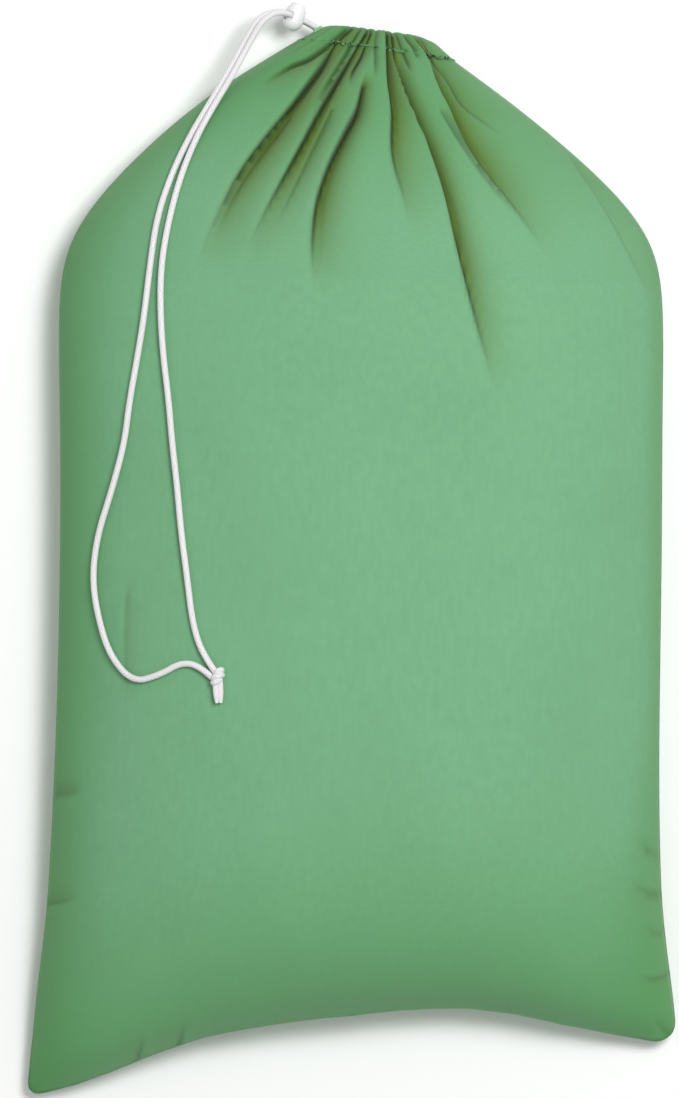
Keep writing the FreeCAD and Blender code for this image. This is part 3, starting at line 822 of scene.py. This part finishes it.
def smoothLine(points, count=48):
    # rounded line through a few chosen points
    points = np.array(overCasing(points), float)
    lengths = np.concatenate([[0], np.cumsum(np.linalg.norm(np.diff(points, axis=0), axis=1))])
    slopes = np.gradient(points, lengths, axis=0)
    places = np.linspace(0, lengths[-1], count)
    index = np.clip(np.searchsorted(lengths, places, side="right") - 1, 0, len(points) - 2)
    span = (lengths[index + 1] - lengths[index])[:, None]
    s = (places - lengths[index])[:, None] / span
    return (
        (2 * s**3 - 3 * s**2 + 1) * points[index]
        + (s**3 - 2 * s**2 + s) * span * slopes[index]
        + (3 * s**2 - 2 * s**3) * points[index + 1]
        + (s**3 - s**2) * span * slopes[index + 1]
    )


def nearLine(places, line):
    # signed distance to a line, share along it, and the direction across it, to the left of its run
    best = np.full(len(places), np.inf)
    signed = np.zeros(len(places))
    share = np.zeros(len(places))
    across = np.zeros((len(places), 2))
    count = len(line) - 1
    for i, (a, b) in enumerate(zip(line, line[1:])):
        run = b - a
        along = np.clip(((places - a) @ run) / (run @ run), 0, 1)
        gap = places - (a + along[:, None] * run)
        distance = np.hypot(gap[:, 0], gap[:, 1])
        closer = distance < best
        best[closer] = distance[closer]
        normal = np.array([-run[1], run[0]]) / np.hypot(*run)
        side = np.where(gap @ normal >= 0, 1, -1)
        signed[closer] = (distance * side)[closer]
        share[closer] = ((i + along) / count)[closer]
        across[closer] = normal
    return signed, share, across


def foldField(places):
    # height of the folds, the painted shade in a valley and the painted dark line at its foot, and
    # the sideways lean of the crests
    facts = foldShape
    height = np.zeros(len(places))
    creaseShade = np.zeros(len(places))
    cavityShade = np.zeros(len(places))
    lean = np.zeros((len(places), 2))
    for fold in folds:
        signed, share, across = nearLine(places, smoothLine(fold["line"]))
        width = fold["width"][0] + (fold["width"][1] - fold["width"][0]) * share
        strength = facts["startShare"] + (1 - facts["startShare"]) * ease(0, facts["startReach"], share)
        strength *= (1 - share) ** fold["fade"]
        strength = np.where(np.abs(signed) > 6 * width, 0, strength)
        # a high crest on one side of the line, a steep side along it and a wide valley on the other
        valley = np.exp(-((np.abs(signed) / width) ** 1.4))
        crest = np.exp(-((signed / (0.7 * width)) ** 2))
        step = facts["step"] + facts["stepGrowth"] * width * share
        past = ease(-step, step, signed)
        height += strength * (fold["crest"] * crest * (1 - past) - fold["depth"] * valley * past)
        whole = min(1, fold["depth"] / facts["pocketFrom"])
        pocket = np.exp(-(((signed - facts["pocketPlace"] * width) / facts["pocketWidth"]) ** 2))
        height -= facts["pocketDepth"] * whole * strength * pocket * ease(1, 0.75, share)
        hang = np.exp(-((signed / facts["leanReach"]) ** 2)) * (1 - past)
        lean += (facts["lean"] * whole * strength * hang)[:, None] * across
        # painted shade: a darker olive in the valley and a dark line at the foot of the steep side
        near = np.exp(-((np.abs(signed) / (1.35 * width)) ** 1.6))
        shade = ease(0, 0.55, strength) * near * past
        creaseShade = np.maximum(creaseShade, shade * min(1, fold["depth"] / facts["creaseShadeFrom"]))
        # painted shade: a dark line at the foot of the steep side
        dark = np.exp(-(((signed - facts["cavityPlace"]) / facts["cavityWidth"]) ** 2))
        dark *= ease(0.06, 0.5, strength)
        cavityShade = np.maximum(cavityShade, dark * min(1, fold["depth"] / facts["cavityFrom"]))
    return height, creaseShade, cavityShade, lean


def limitDepth(height, points):
    # folds stay shallow over the casing's cord and may go deeper further down
    below = np.maximum(0, mouthDepth(points) - mouth["depth"])
    deepest = gatherLimit["casing"] + gatherLimit["below"] * below
    return np.where(height < 0, -deepest * np.tanh(-height / deepest), height)


def crowdToFolds(points, normals, spacing):
    # draw the mesh's points along the surface towards the nearest fold's line, for an even steep side
    best = np.full(len(points), np.inf)
    shift = np.zeros((len(points), 2))
    for fold in folds:
        signed, share, across = nearLine(points[:, :2], smoothLine(fold["line"]))
        closer = np.abs(signed) < best
        best[closer] = np.abs(signed)[closer]
        near = np.exp(-((signed / (panelMesh["crowdReach"] * spacing)) ** 2))
        near *= ease(0, 0.03, share) * ease(1, 0.9, share)
        shift[closer] = (-panelMesh["crowdPull"] * signed * near)[closer, None] * across[closer]
    up = np.maximum(normals[:, 2], 0.25)
    drop = -(normals[:, 0] * shift[:, 0] + normals[:, 1] * shift[:, 1]) / up
    return points + np.column_stack([shift, drop])


filling = {
    "lumps": [  # height, then two crossing waves: their rate along x, along y, and their phase
        (0.0011, (31, 9, 0.6), (-11, 23, 1.9)),
        (0.0005, (58, -27, 2.4), (21, 49, 0.3)),
    ],
    "puckerHeight": 0.00062,
    "puckerReach": 0.014,  # distance from the seam over which the puckers fade
}


def lumps(points):
    # slight unevenness of cloth over soft laundry
    height = np.zeros(len(points))
    for size, *waves in filling["lumps"]:
        lump = np.full(len(points), size)
        for rateX, rateY, phase in waves:
            lump *= np.sin(rateX * points[:, 0] + rateY * points[:, 1] + phase)
        height += lump
    return height


def seamPuckers(along, away):
    # small gathers where the overlock draws the cloth in, fading away from the seam
    wave = np.sin(along * 310 + 1.7 * np.sin(along * 41)) * (0.6 + 0.4 * np.sin(along * 23 + 1.1))
    wave += 0.6 * np.sin(along * 171 + 2.2 * np.sin(along * 17 + 0.4))
    fade = np.exp(-away / filling["puckerReach"]) * ease(0, 0.003, away)
    return filling["puckerHeight"] * wave * fade


# the foot of the bag, rounder at its corners than the frame's net
foot = {
    "corners": [  # direction along the bottom seam, direction up the side seam, radius
        ((0.917, 0.399), (0.090, 0.996), 0.013),
        ((-0.968, 0.249), (-0.070, 0.997), 0.024),
    ],
    "sagAcross": [-1, -0.93, -0.85, -0.75, -0.6, -0.45, -0.2, 0, 0.15, 0.35, 0.5, 0.65, 0.8, 1],
    "sag": [0.005, 0.0085, 0.0105, 0.0095, 0.0045, 0.001, 0.0022, 0.0030,
            0.001, -0.0004, 0.0028, 0.0085, 0.0112, 0.0112],
    "sagReach": 0.12,
    "spread": 0.0044,  # how much further the bottom corners stand out
    "spreadFrom": -0.30,
    "spreadTo": -0.42,
}


def settleFoot(points):
    # round the two bottom corners, let the foot sag between them and spread them a little
    leftX, leftY, rightX, rightY, bow = bagForm["outline"][0]
    scale = np.array([bagForm["width"], bagForm["length"]])
    places = np.array([(leftX, leftY), (rightX, rightY)]) * scale
    for place, (inwards, upwards, radius) in zip(places, foot["corners"]):
        cornerAxes = np.array([inwards, upwards]).T
        local = (points[:, :2] - place) @ np.linalg.inv(cornerAxes).T
        inside = (local < radius).all(axis=1)
        reach = radius - local[inside]
        size = np.maximum(np.hypot(reach[:, 0], reach[:, 1]), 1e-9)
        reach *= (reach.max(axis=1) / size)[:, None]
        points[inside, :2] = place + (radius - reach) @ cornerAxes.T
    share = np.clip(points[:, 0] / (rightX * bagForm["width"]), -1, 1)
    edge = leftY * (1 - share) / 2 + rightY * (1 + share) / 2 + bow * (1 - share**2)
    low = 1 - ease(0, foot["sagReach"], points[:, 1] - edge * bagForm["length"])
    points[:, 1] -= low * np.interp(share, foot["sagAcross"], foot["sag"])
    out = 1 - ease(foot["spreadTo"], foot["spreadFrom"], points[:, 1])
    points[:, 0] += foot["spread"] * out * share**5
    return points


# the casing: the hem gathered round the cord, one ring of many small pleats
casing = {
    "around": 440,
    "across": 56,
    "outerFoot": -60,  # degrees round the casing's section: the foot of its outside
    "edgeFrom": 30,  # where the outside begins to turn over the mouth's edge
    "edgeTo": 150,  # where the inside begins
    "innerFoot": 240,  # the foot of the inside, from where the underside leads back
    "collarRows": 18,  # rows of the panels' mesh that run over the casing to the mouth's edge
    "collarTop": 78,  # degrees round the section where they end
    "collarSkin": 0.0003,
    "collarFree": 0.35,  # share of the folds' height that stays at the seams over the casing
    "lip": 0.0185,  # depth of the ring's lower edge, under the panels' cloth
    "sink": 0.0007,  # the ring's outside under the cloth
    "roundness": 0.0055,  # depth over which the outside turns over the mouth's edge
    "holeFullness": 3.0,
    "uvAround": 0.097,  # metres of cloth for each radian round the mouth
    "uvAcross": 0.0105,  # and round the section
    "pleats": 27,
    "frontRuffle": 0.0008,
    "backRuffle": 0.0022,
    "topRuffle": 0.0019,
    "innerRuffle": 0.0024,
    "exitFrom": 0.20,  # turn from the cord's exit within which nothing is ruffled, in radians
    "exitTo": 0.42,  # and from which everything is
    "exitDent": 0.0016,  # how deep the cord's two strands press into the ring where they leave
    "exitReach": 0.0042,
    "exitSteps": 12,  # steps along a strand's line that give its direction there
    "stitchDepth": 0.0175,
    "stitchPitch": 0.0033,
    "stitchLength": 0.0022,
    "stitchWidth": 0.00048,
}


def ovalPoint(turn, depth, inside):
    # places on the casing's outer or inner side, in the mouth's own frame
    share = depth / mouth["depth"]
    t = np.cos(turn)
    way = np.where(np.sin(turn) >= 0, 1, -1)
    if inside:
        half = mouth["holeHalfWidth"] + mouth["holeFlareWidth"] * share
        tall = mouth["holeHalfHeight"] + mouth["holeFlareHeight"] * share
        height = tall * np.sqrt(1 - np.abs(t) ** casing["holeFullness"])
    else:
        tuck = mouth["setback"] * share
        half = mouth["halfWidth"] + mouth["flareWidth"] * share - tuck
        tall = mouth["halfHeight"] + mouth["flareHeight"] * share - tuck
        height = tall * neckShare(t)
    return np.stack([half * t, -depth, mouth["flareHeight"] * share + way * height], axis=1)


def pleatWave(turn):
    # rounded pleats with sharp valleys, unevenly spaced, from -1 in a valley to 0 on a crest
    phase = casing["pleats"] * turn + 1.3 * np.sin(3 * turn + 0.5) + 0.8 * np.sin(7 * turn + 2)
    depth = 0.75 + 0.25 * np.sin(5 * turn + 1)
    return (np.abs(np.sin(phase / 2)) ** 0.75 - 1) * depth


def overEdge(bend):
    # how far round the mouth's edge a place is, from 0 on the outside to pi on the inside
    return np.clip((bend - casing["edgeFrom"]) / (casing["edgeTo"] - casing["edgeFrom"]), 0, 1) * math.pi


def ringPlaces(turn, bend, deepest):
    # places on the casing: turn goes round the mouth and bend round the casing's section, in degrees
    facts = casing
    over = overEdge(bend)
    run = mouth["depth"] - facts["roundness"]
    depth = facts["roundness"] * (1 - np.sin(over))
    depth += np.clip((facts["edgeFrom"] - bend) / (facts["edgeFrom"] - facts["outerFoot"]), 0, 1) * run
    depth += np.clip((bend - facts["edgeTo"]) / (facts["innerFoot"] - facts["edgeTo"]), 0, 1) * run
    depth = np.minimum(depth, deepest)
    inwards = (1 - np.cos(over)) / 2
    underside = (bend - facts["innerFoot"]) / (360 + facts["outerFoot"] - facts["innerFoot"])
    inwards = np.where(underside > 0, 1 - underside, inwards)[:, None]
    places = ovalPoint(turn, depth, False) * (1 - inwards) + ovalPoint(turn, depth, True) * inwards
    return mouthToBag(places)


def makePanel(name, front):
    # one panel's cloth on the bag's net, continued over the casing to the mouth's edge
    columns = panelMesh["frontColumns" if front else "backColumns"]
    rows = panelMesh["frontRows" if front else "backRows"]
    bm = bmesh.new()
    bmesh.ops.create_grid(bm, x_segments=columns, y_segments=rows, size=1)
    flat = bm.loops.layers.uv.new("flat")
    size = np.array([bagForm["flatWidth"], bagForm["flatLength"]]) / 2
    for face in bm.faces:
        for loop in face.loops:
            loop[flat].uv = (loop.vert.co.x * size[0], loop.vert.co.y * size[1])
    if not front:
        bmesh.ops.reverse_faces(bm, faces=bm.faces)
    piece = linkMesh(name, bm)
    grid = readPoints(piece)
    column = np.rint((grid[:, 0] + 1) / 2 * columns).astype(int)
    row = np.rint((grid[:, 1] + 1) / 2 * rows).astype(int)
    collar = casing["collarRows"]
    across = columnPlaces(columns)
    surface = netPoints(panelNet(front), rowPlaces(rows - collar), across)
    shares = splineShares(len(bagForm["columns"]), across)
    turn = np.arccos(np.clip(shares @ np.array(bagForm["columns"], float), -1, 1))
    turn *= 1 if front else -1
    bends = np.linspace(casing["outerFoot"], casing["collarTop"], collar + 1)[1:]
    upper = [ringPlaces(turn, np.full(columns + 1, bend), mouth["depth"]) for bend in bends]
    surface = np.concatenate([surface, np.array(upper)])
    writePoints(piece, surface[row, column])
    return piece, row, column, turn[column]


def edgeDistance(points, row, column, columns, rows):
    # distance to the left, right and bottom seams, and the mesh's own spacing
    grid = np.zeros((rows + 1, columns + 1, 3))
    grid[row, column] = points
    left = np.linalg.norm(grid - grid[:, :1], axis=2)
    right = np.linalg.norm(grid - grid[:, -1:], axis=2)
    bottom = np.linalg.norm(grid - grid[:1], axis=2)
    spacing = np.linalg.norm(grid[:, -1] - grid[:, 0], axis=1) / columns
    return left[row, column], right[row, column], bottom[row, column], spacing[row]


def paint(piece, name, values):
    attribute = piece.data.attributes.new(name, "FLOAT", "POINT")
    attribute.data.foreach_set("value", np.clip(values, 0, 1))


# painted shade: how much darker, deeper green lies near each seam, at the foot, at the neck and over the
# casing
paintedShade = {
    "neck": 0.55,  # share of the deep colour at the neck
    "neckFrom": 0.05,  # where it begins to fade below the mouth, and where it has faded
    "neckTo": 0.19,
    "leftReach": 0.105,  # distance from each seam over which its deep colour fades
    "right": 0.8,
    "rightReach": 0.050,
    "rightToeReach": 0.075,  # so much more at the foot of the bag
    "bottom": 0.7,
    "bottomReach": 0.26,
    "toeFrom": -0.12,  # where the foot of the bag begins to deepen, and where it is deepest
    "toeTo": -0.42,
    "casing": 0.8,
}


def paintedShadeShare(points, left, right, bottom):
    # painted shade: a darker, deeper green near the seams, at the foot of the bag and in the gathers
    neck = paintedShade["neck"] * (1 - ease(paintedShade["neckFrom"], paintedShade["neckTo"], mouthDepth(points)))
    toe = 1 - ease(paintedShade["toeTo"], paintedShade["toeFrom"], points[:, 1])
    leftSide = 1 - ease(0, paintedShade["leftReach"], left)
    rightReach = paintedShade["rightReach"] + paintedShade["rightToeReach"] * toe
    rightSide = paintedShade["right"] * (1 - ease(0, 1, right / rightReach))
    lower = paintedShade["bottom"] * (1 - ease(0, paintedShade["bottomReach"], bottom))
    return 1 - (1 - neck) * (1 - np.maximum(leftSide, rightSide)) * (1 - lower)


def hemLine(piece, row, column, rows):
    # places and directions on the cloth under the row of stitches
    facts = casing
    share = (facts["stitchDepth"] - facts["roundness"]) / (mouth["depth"] - facts["roundness"])
    level = facts["edgeFrom"] - (facts["edgeFrom"] - facts["outerFoot"]) * share
    share = (level - facts["outerFoot"]) / (facts["collarTop"] - facts["outerFoot"])
    stitched = rows - facts["collarRows"] + round(share * facts["collarRows"])
    line = np.where(row == stitched)[0]
    line = line[np.argsort(column[line])]
    return readPoints(piece)[line], readNormals(piece)[line]


def shapeCloth(name, front):
    # a panel with its folds, puckers and painted shade; also gives the line that its hem is stitched along
    piece, row, column, turn = makePanel(name, front)
    columns = panelMesh["frontColumns" if front else "backColumns"]
    rows = panelMesh["frontRows" if front else "backRows"]
    points, normals = readPoints(piece), readNormals(piece)
    left, right, bottom, spacing = edgeDistance(points, row, column, columns, rows)
    side = np.minimum(left, right)
    seam = np.minimum(side, bottom)
    collar = (row - (rows - casing["collarRows"])) / casing["collarRows"]
    free = ease(0.0005, 0.010, seam)  # the sewn edges stay in place, but not those over the casing
    free = np.where(collar > 0, np.maximum(free, casing["collarFree"]), free)
    if front:
        crowded = crowdToFolds(points, normals, spacing)
        points += (crowded - points) * ease(0, 0.012, seam)[:, None]
        height, creaseShade, cavityShade, lean = foldField(points[:, :2])
        height = limitDepth(height, points)
        height += lumps(points) * ease(0.004, 0.06, seam)
        points[:, :2] += lean * free[:, None]
    else:
        height, creaseShade = backFolds(points)
        # painted shade: a faint dark line deep in the fan's valleys
        cavityShade = 0.3 * creaseShade**4
    wave = pleatWave(turn)
    ruffle = casing["frontRuffle" if front else "backRuffle"] * (1 - ease(0.018, 0.042, mouthDepth(points)))
    ruffle *= ease(casing["exitFrom"], casing["exitTo"], np.pi - np.abs(turn))
    # painted shade in the hollows of the casing's pleats
    creaseShade = np.maximum(creaseShade, -0.45 * wave * ease(0, 0.0006, ruffle))
    height += ruffle * wave + casing["collarSkin"] * ease(0, 0.15, collar)
    height -= 4 * casing["collarSkin"] * ease(0.9, 1, collar)
    height += seamPuckers(points[:, 1], side) * ease(0.02, 0.05, bottom)
    height += seamPuckers(points[:, 0] + 0.3, bottom) * ease(0.015, 0.04, side)
    if not front:
        height = np.where(points[:, 2] < 0.012, np.minimum(height, 0), height)  # not into the floor
    points += normals * (height * free)[:, None]
    writePoints(piece, settleFoot(points))
    # painted shade: the folds' valleys, the dark lines at their feet, and the deeper green near the seams,
    # the foot and the neck
    paint(piece, "creaseShade", creaseShade * free)
    paint(piece, "cavityShade", cavityShade * free)
    paint(piece, "deep", paintedShadeShare(points, left, right, bottom))
    thick = piece.modifiers.new("cloth", "SOLIDIFY")
    thick.thickness = bagForm["cloth"]
    thick.offset = -1
    return piece, hemLine(piece, row, column, rows)


# gathers under the bag's neck, a fan of folds that fade towards the floor
backGather = {
    "count": 11,
    "start": -0.014,  # below the mouth's edge, in the mouth's own frame
    "top": 0.062,  # half width of the fan at the neck
    "foot": 0.205,
    "drop": 0.155,
    "depth": 0.0055,
    "width": (0.0045, 0.014),
    "bend": (0.4, 0.35),  # middle of each fold's line: share of its reach and of its way outwards
    # share of painted shade in a fold's valley
    "creaseShade": 0.7,
}


def backFolds(points):
    # height of the fan's folds and the painted shade in their valleys
    height = np.zeros(len(points))
    creaseShade = np.zeros(len(points))
    facts = backGather
    for i in range(facts["count"]):
        share = 2 * (i + 0.35 * math.sin(2.7 * i)) / (facts["count"] - 1) - 1
        reach = facts["drop"] * (0.75 + 0.3 * math.sin(1.9 * i + 0.5))
        near = facts["top"] * share
        away = facts["foot"] * share * reach / facts["drop"]
        down, outwards = facts["bend"]
        ends = mouthToBag([
            (near, facts["start"], 0),
            (near + outwards * (away - near), facts["start"] - down * reach, 0),
            (away, facts["start"] - reach, 0),
        ])
        signed, along, across = nearLine(points[:, :2], smoothLine(ends[:, :2]))
        width = facts["width"][0] + (facts["width"][1] - facts["width"][0]) * along
        valley = np.exp(-((np.abs(signed) / width) ** 1.5)) * (1 - along) ** 0.9
        height -= facts["depth"] * (0.75 + 0.25 * math.sin(3.1 * i)) * valley
        creaseShade = np.maximum(creaseShade, facts["creaseShade"] * valley)
    return height, creaseShade


def unwrapped(angles):
    # a face's angles without the jump from the last back to the first
    return [angle + 2 * math.pi if max(angles) - angle > math.pi else angle for angle in angles]


def makeRing():
    # a plain ring with flat coordinates along its cloth
    bm = bmesh.new()
    bmesh.ops.create_circle(bm, segments=casing["across"], radius=0.3)
    flat = bm.loops.layers.uv.new("flat")
    for vert in bm.verts:
        vert.co = (1 + vert.co.x, 0, vert.co.y)
    bmesh.ops.spin(
        bm,
        geom=bm.verts[:] + bm.edges[:],
        cent=(0, 0, 0),
        axis=(0, 0, 1),
        angle=2 * math.pi,
        steps=casing["around"],
        use_merge=True,
    )
    for face in bm.faces:
        corners = [loop.vert.co for loop in face.loops]
        turns = unwrapped([math.atan2(c.y, c.x) for c in corners])
        bends = unwrapped([math.atan2(c.z, math.hypot(c.x, c.y) - 1) for c in corners])
        for loop, turn, bend in zip(face.loops, turns, bends):
            loop[flat].uv = (turn * casing["uvAround"], bend * casing["uvAcross"])
    bmesh.ops.recalc_face_normals(bm, faces=bm.faces)
    bmesh.ops.reverse_faces(bm, faces=bm.faces)  # laying the ring over from Z to Y mirrors it
    return linkMesh("mouthCasing", bm)


def ruffleSize(turn, bend):
    # height of the pleats: small in front, larger behind and inside, none at the exit and underneath
    facts = casing
    facing = ease(-0.25, 0.35, np.sin(turn))
    outer = facts["backRuffle"] + (facts["frontRuffle"] - facts["backRuffle"]) * facing
    size = np.where(bend < 90, outer, facts["innerRuffle"])
    crown = np.sin(overEdge(bend))
    size = size * (1 - crown) + facts["topRuffle"] * crown
    exitSide = ease(facts["exitFrom"], facts["exitTo"], np.abs(np.abs(turn) - math.pi))
    size *= np.where(bend < 75, exitSide, 1)
    return np.where(bend > facts["innerFoot"], 0, size)


def strandDents(points, bend):
    # grooves where the two strands leave the casing
    dents = np.zeros(len(points))
    for line in (rightLine, leftLine):
        start, ahead = np.array(line[0]), np.array(line[casing["exitSteps"]])
        run = (ahead - start) / np.linalg.norm(ahead - start)
        gap = points - start
        aside = np.linalg.norm(gap - (gap @ run)[:, None] * run, axis=1)
        outside = np.where((gap @ run > 0) & (bend < 60), 1, 0)
        dents += casing["exitDent"] * np.exp(-((aside / casing["exitReach"]) ** 2)) * outside
    return dents


def makeCasing():
    piece = makeRing()
    torus = readPoints(piece)
    turn = np.arctan2(torus[:, 1], torus[:, 0])
    bend = np.degrees(np.arctan2(torus[:, 2], np.hypot(torus[:, 0], torus[:, 1]) - 1))
    bend = np.where(bend < casing["outerFoot"], bend + 360, bend)
    writePoints(piece, ringPlaces(turn, bend, casing["lip"]))
    points, normals = readPoints(piece), readNormals(piece)
    wave = pleatWave(turn)
    size = ruffleSize(turn, bend)
    # the panels' folds run on over the ring where it faces up, and the fan's where it faces down
    height, creaseShade, cavityShade, _ = foldField(points[:, :2])
    showing = ease(0.05, 0.45, normals[:, 2]) * np.where((bend < 100) & (np.sin(turn) > 0), 1, 0)
    height = limitDepth(height, points) * showing
    nextHeight, nextCrease = backFolds(points)
    below = ease(0.05, 0.45, -normals[:, 2]) * np.where((bend < 60) & (np.sin(turn) < 0), 1, 0)
    height += np.maximum(nextHeight, -gatherLimit["casing"]) * below
    creaseShade = np.maximum(creaseShade * showing, nextCrease * below)
    height -= strandDents(points, bend)
    height -= casing["sink"] * (1 - ease(45, 100, bend))
    points += normals * (height + size * wave)[:, None]
    writePoints(piece, points)
    # painted shade in the folds' valleys and the pleats' hollows, with the folds' dark lines where the ring
    # faces up
    paint(piece, "creaseShade", creaseShade * 0.9 - wave * 0.28 * ease(0, 0.001, size))
    paint(piece, "cavityShade", cavityShade * showing)
    # painted shade over the whole casing
    paint(piece, "deep", np.full(len(points), paintedShade["casing"]))
    return piece


def makeStitches(frontHem, backHem):
    # a row of short stitches that holds the hem, following the gathered cloth round the neck
    facts = casing
    points = np.vstack([frontHem[0], backHem[0][::-1]])
    normals = np.vstack([frontHem[1], backHem[1][::-1]])
    loop = np.vstack([points, points[:1]])
    places = np.concatenate([[0], np.cumsum(np.linalg.norm(np.diff(loop, axis=0), axis=1))])
    count = int(places[-1] / facts["stitchPitch"])
    bm = bmesh.new()
    for i in range(count):
        index = min(np.searchsorted(places, i * places[-1] / count), len(points) - 1)
        place, normal = Vector(points[index]), Vector(normals[index])
        along = Vector(loop[index + 1] - loop[index - 1 if index else 0]).normalized()
        across = normal.cross(along).normalized()
        made = bmesh.ops.create_icosphere(bm, subdivisions=1, radius=0.5)
        for vert in made["verts"]:
            x, y, z = vert.co
            offset = along * x * facts["stitchLength"] + across * y * facts["stitchWidth"]
            vert.co = place + offset + normal * z * facts["stitchWidth"]
    return linkMesh("casingStitches", bm)


def copySeam(node, name):
    # the frame's overlocked seam, settled with the foot of the bag
    bm = bmesh.new()
    bm.from_mesh(nodes[node].data)
    bmesh.ops.remove_doubles(bm, verts=bm.verts, dist=0.00001)
    piece = linkMesh(name, bm, smooth=False)
    writePoints(piece, settleFoot(readPoints(piece)))
    piece.data.materials.clear()
    piece.data.materials.append(greenThread)
    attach(piece, "bag")
    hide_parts(node)


frontCloth, frontHem = shapeCloth("frontCloth", True)
backCloth, backHem = shapeCloth("backCloth", False)
for cloth in (frontCloth, backCloth):
    cloth.data.materials.append(cotton)
    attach(cloth, "bag")
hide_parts("front_panel")
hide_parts("back_panel")
print("cloth made")

mouthCasing = makeCasing()
mouthCasing.data.materials.append(cotton)
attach(mouthCasing, "bag")
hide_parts("front_casing", "back_casing")
stitches = makeStitches(frontHem, backHem)
stitches.data.materials.append(greenThread)
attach(stitches, "bag")
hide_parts("casing_stitching")
for side in ("left", "right", "bottom"):
    copySeam(side + "_seam_overlock", side + "SeamOverlock")
print("casing and seams made")

# CAD nodes that stay, with better finishes
finishes = {
    "exit_bartacks": greenThread,
    "drawstring_in_casing": whiteCord,
    "lock_barrel": whitePlastic,
    "lock_plunger": whitePlastic,
    "lock_spring": springSteel,
}
for name, finish in finishes.items():
    nodes[name].data.materials.clear()
    nodes[name].data.materials.append(finish)


# floor and light
studio = {
    "floorSize": 14.0,
    "floorColour": (0.97, 0.97, 0.97, 1),
    "floorShade": (0.95, 0.95, 0.95, 1),
    "worldColour": (0.99, 1.0, 0.985, 1),
    "world": 0.47,
    "keyPower": 75.0,
    "keySize": 1.0,
    "keyPlace": (0.80, 0.75, 3.1),
    "fillPower": 6.0,
    "fillSize": 3.0,
    "fillPlace": (-1.8, 0.6, 3.2),
    "aim": (0, 0, 0.05),
}


def areaLight(name, place, size, power):
    data = bpy.data.lights.new(name, "AREA")
    data.size = size
    data.energy = power
    lamp = bpy.data.objects.new(name, data)
    lamp.location = place
    lamp.rotation_euler = (Vector(studio["aim"]) - Vector(place)).to_track_quat("-Z", "Y").to_euler()
    scene.collection.objects.link(lamp)


def makeStudio():
    bm = bmesh.new()
    bmesh.ops.create_grid(bm, x_segments=1, y_segments=1, size=studio["floorSize"] / 2)
    floor = linkMesh("floor", bm, smooth=False)
    material, tree, shader = newMaterial("paleFloor")
    place = addNode(tree, "ShaderNodeTexCoord")
    mottle = addNode(tree, "ShaderNodeTexNoise", Scale=2, Detail=2)
    tree.links.new(place.outputs["Object"], mottle.inputs["Vector"])
    tone = addNode(tree, "ShaderNodeMix", data_type="RGBA")
    tone.inputs["A"].default_value = studio["floorColour"]
    tone.inputs["B"].default_value = studio["floorShade"]
    tree.links.new(mottle.outputs["Fac"], tone.inputs["Factor"])
    tree.links.new(tone.outputs["Result"], shader.inputs["Base Color"])
    shader.inputs["Roughness"].default_value = 0.9
    floor.data.materials.append(material)
    world = bpy.data.worlds.new("studio")
    world.use_nodes = True
    world.node_tree.nodes["Background"].inputs["Color"].default_value = studio["worldColour"]
    world.node_tree.nodes["Background"].inputs["Strength"].default_value = studio["world"]
    scene.world = world
    areaLight("key", studio["keyPlace"], studio["keySize"], studio["keyPower"])
    areaLight("fill", studio["fillPlace"], studio["fillSize"], studio["fillPower"])


makeStudio()
print("studio made")
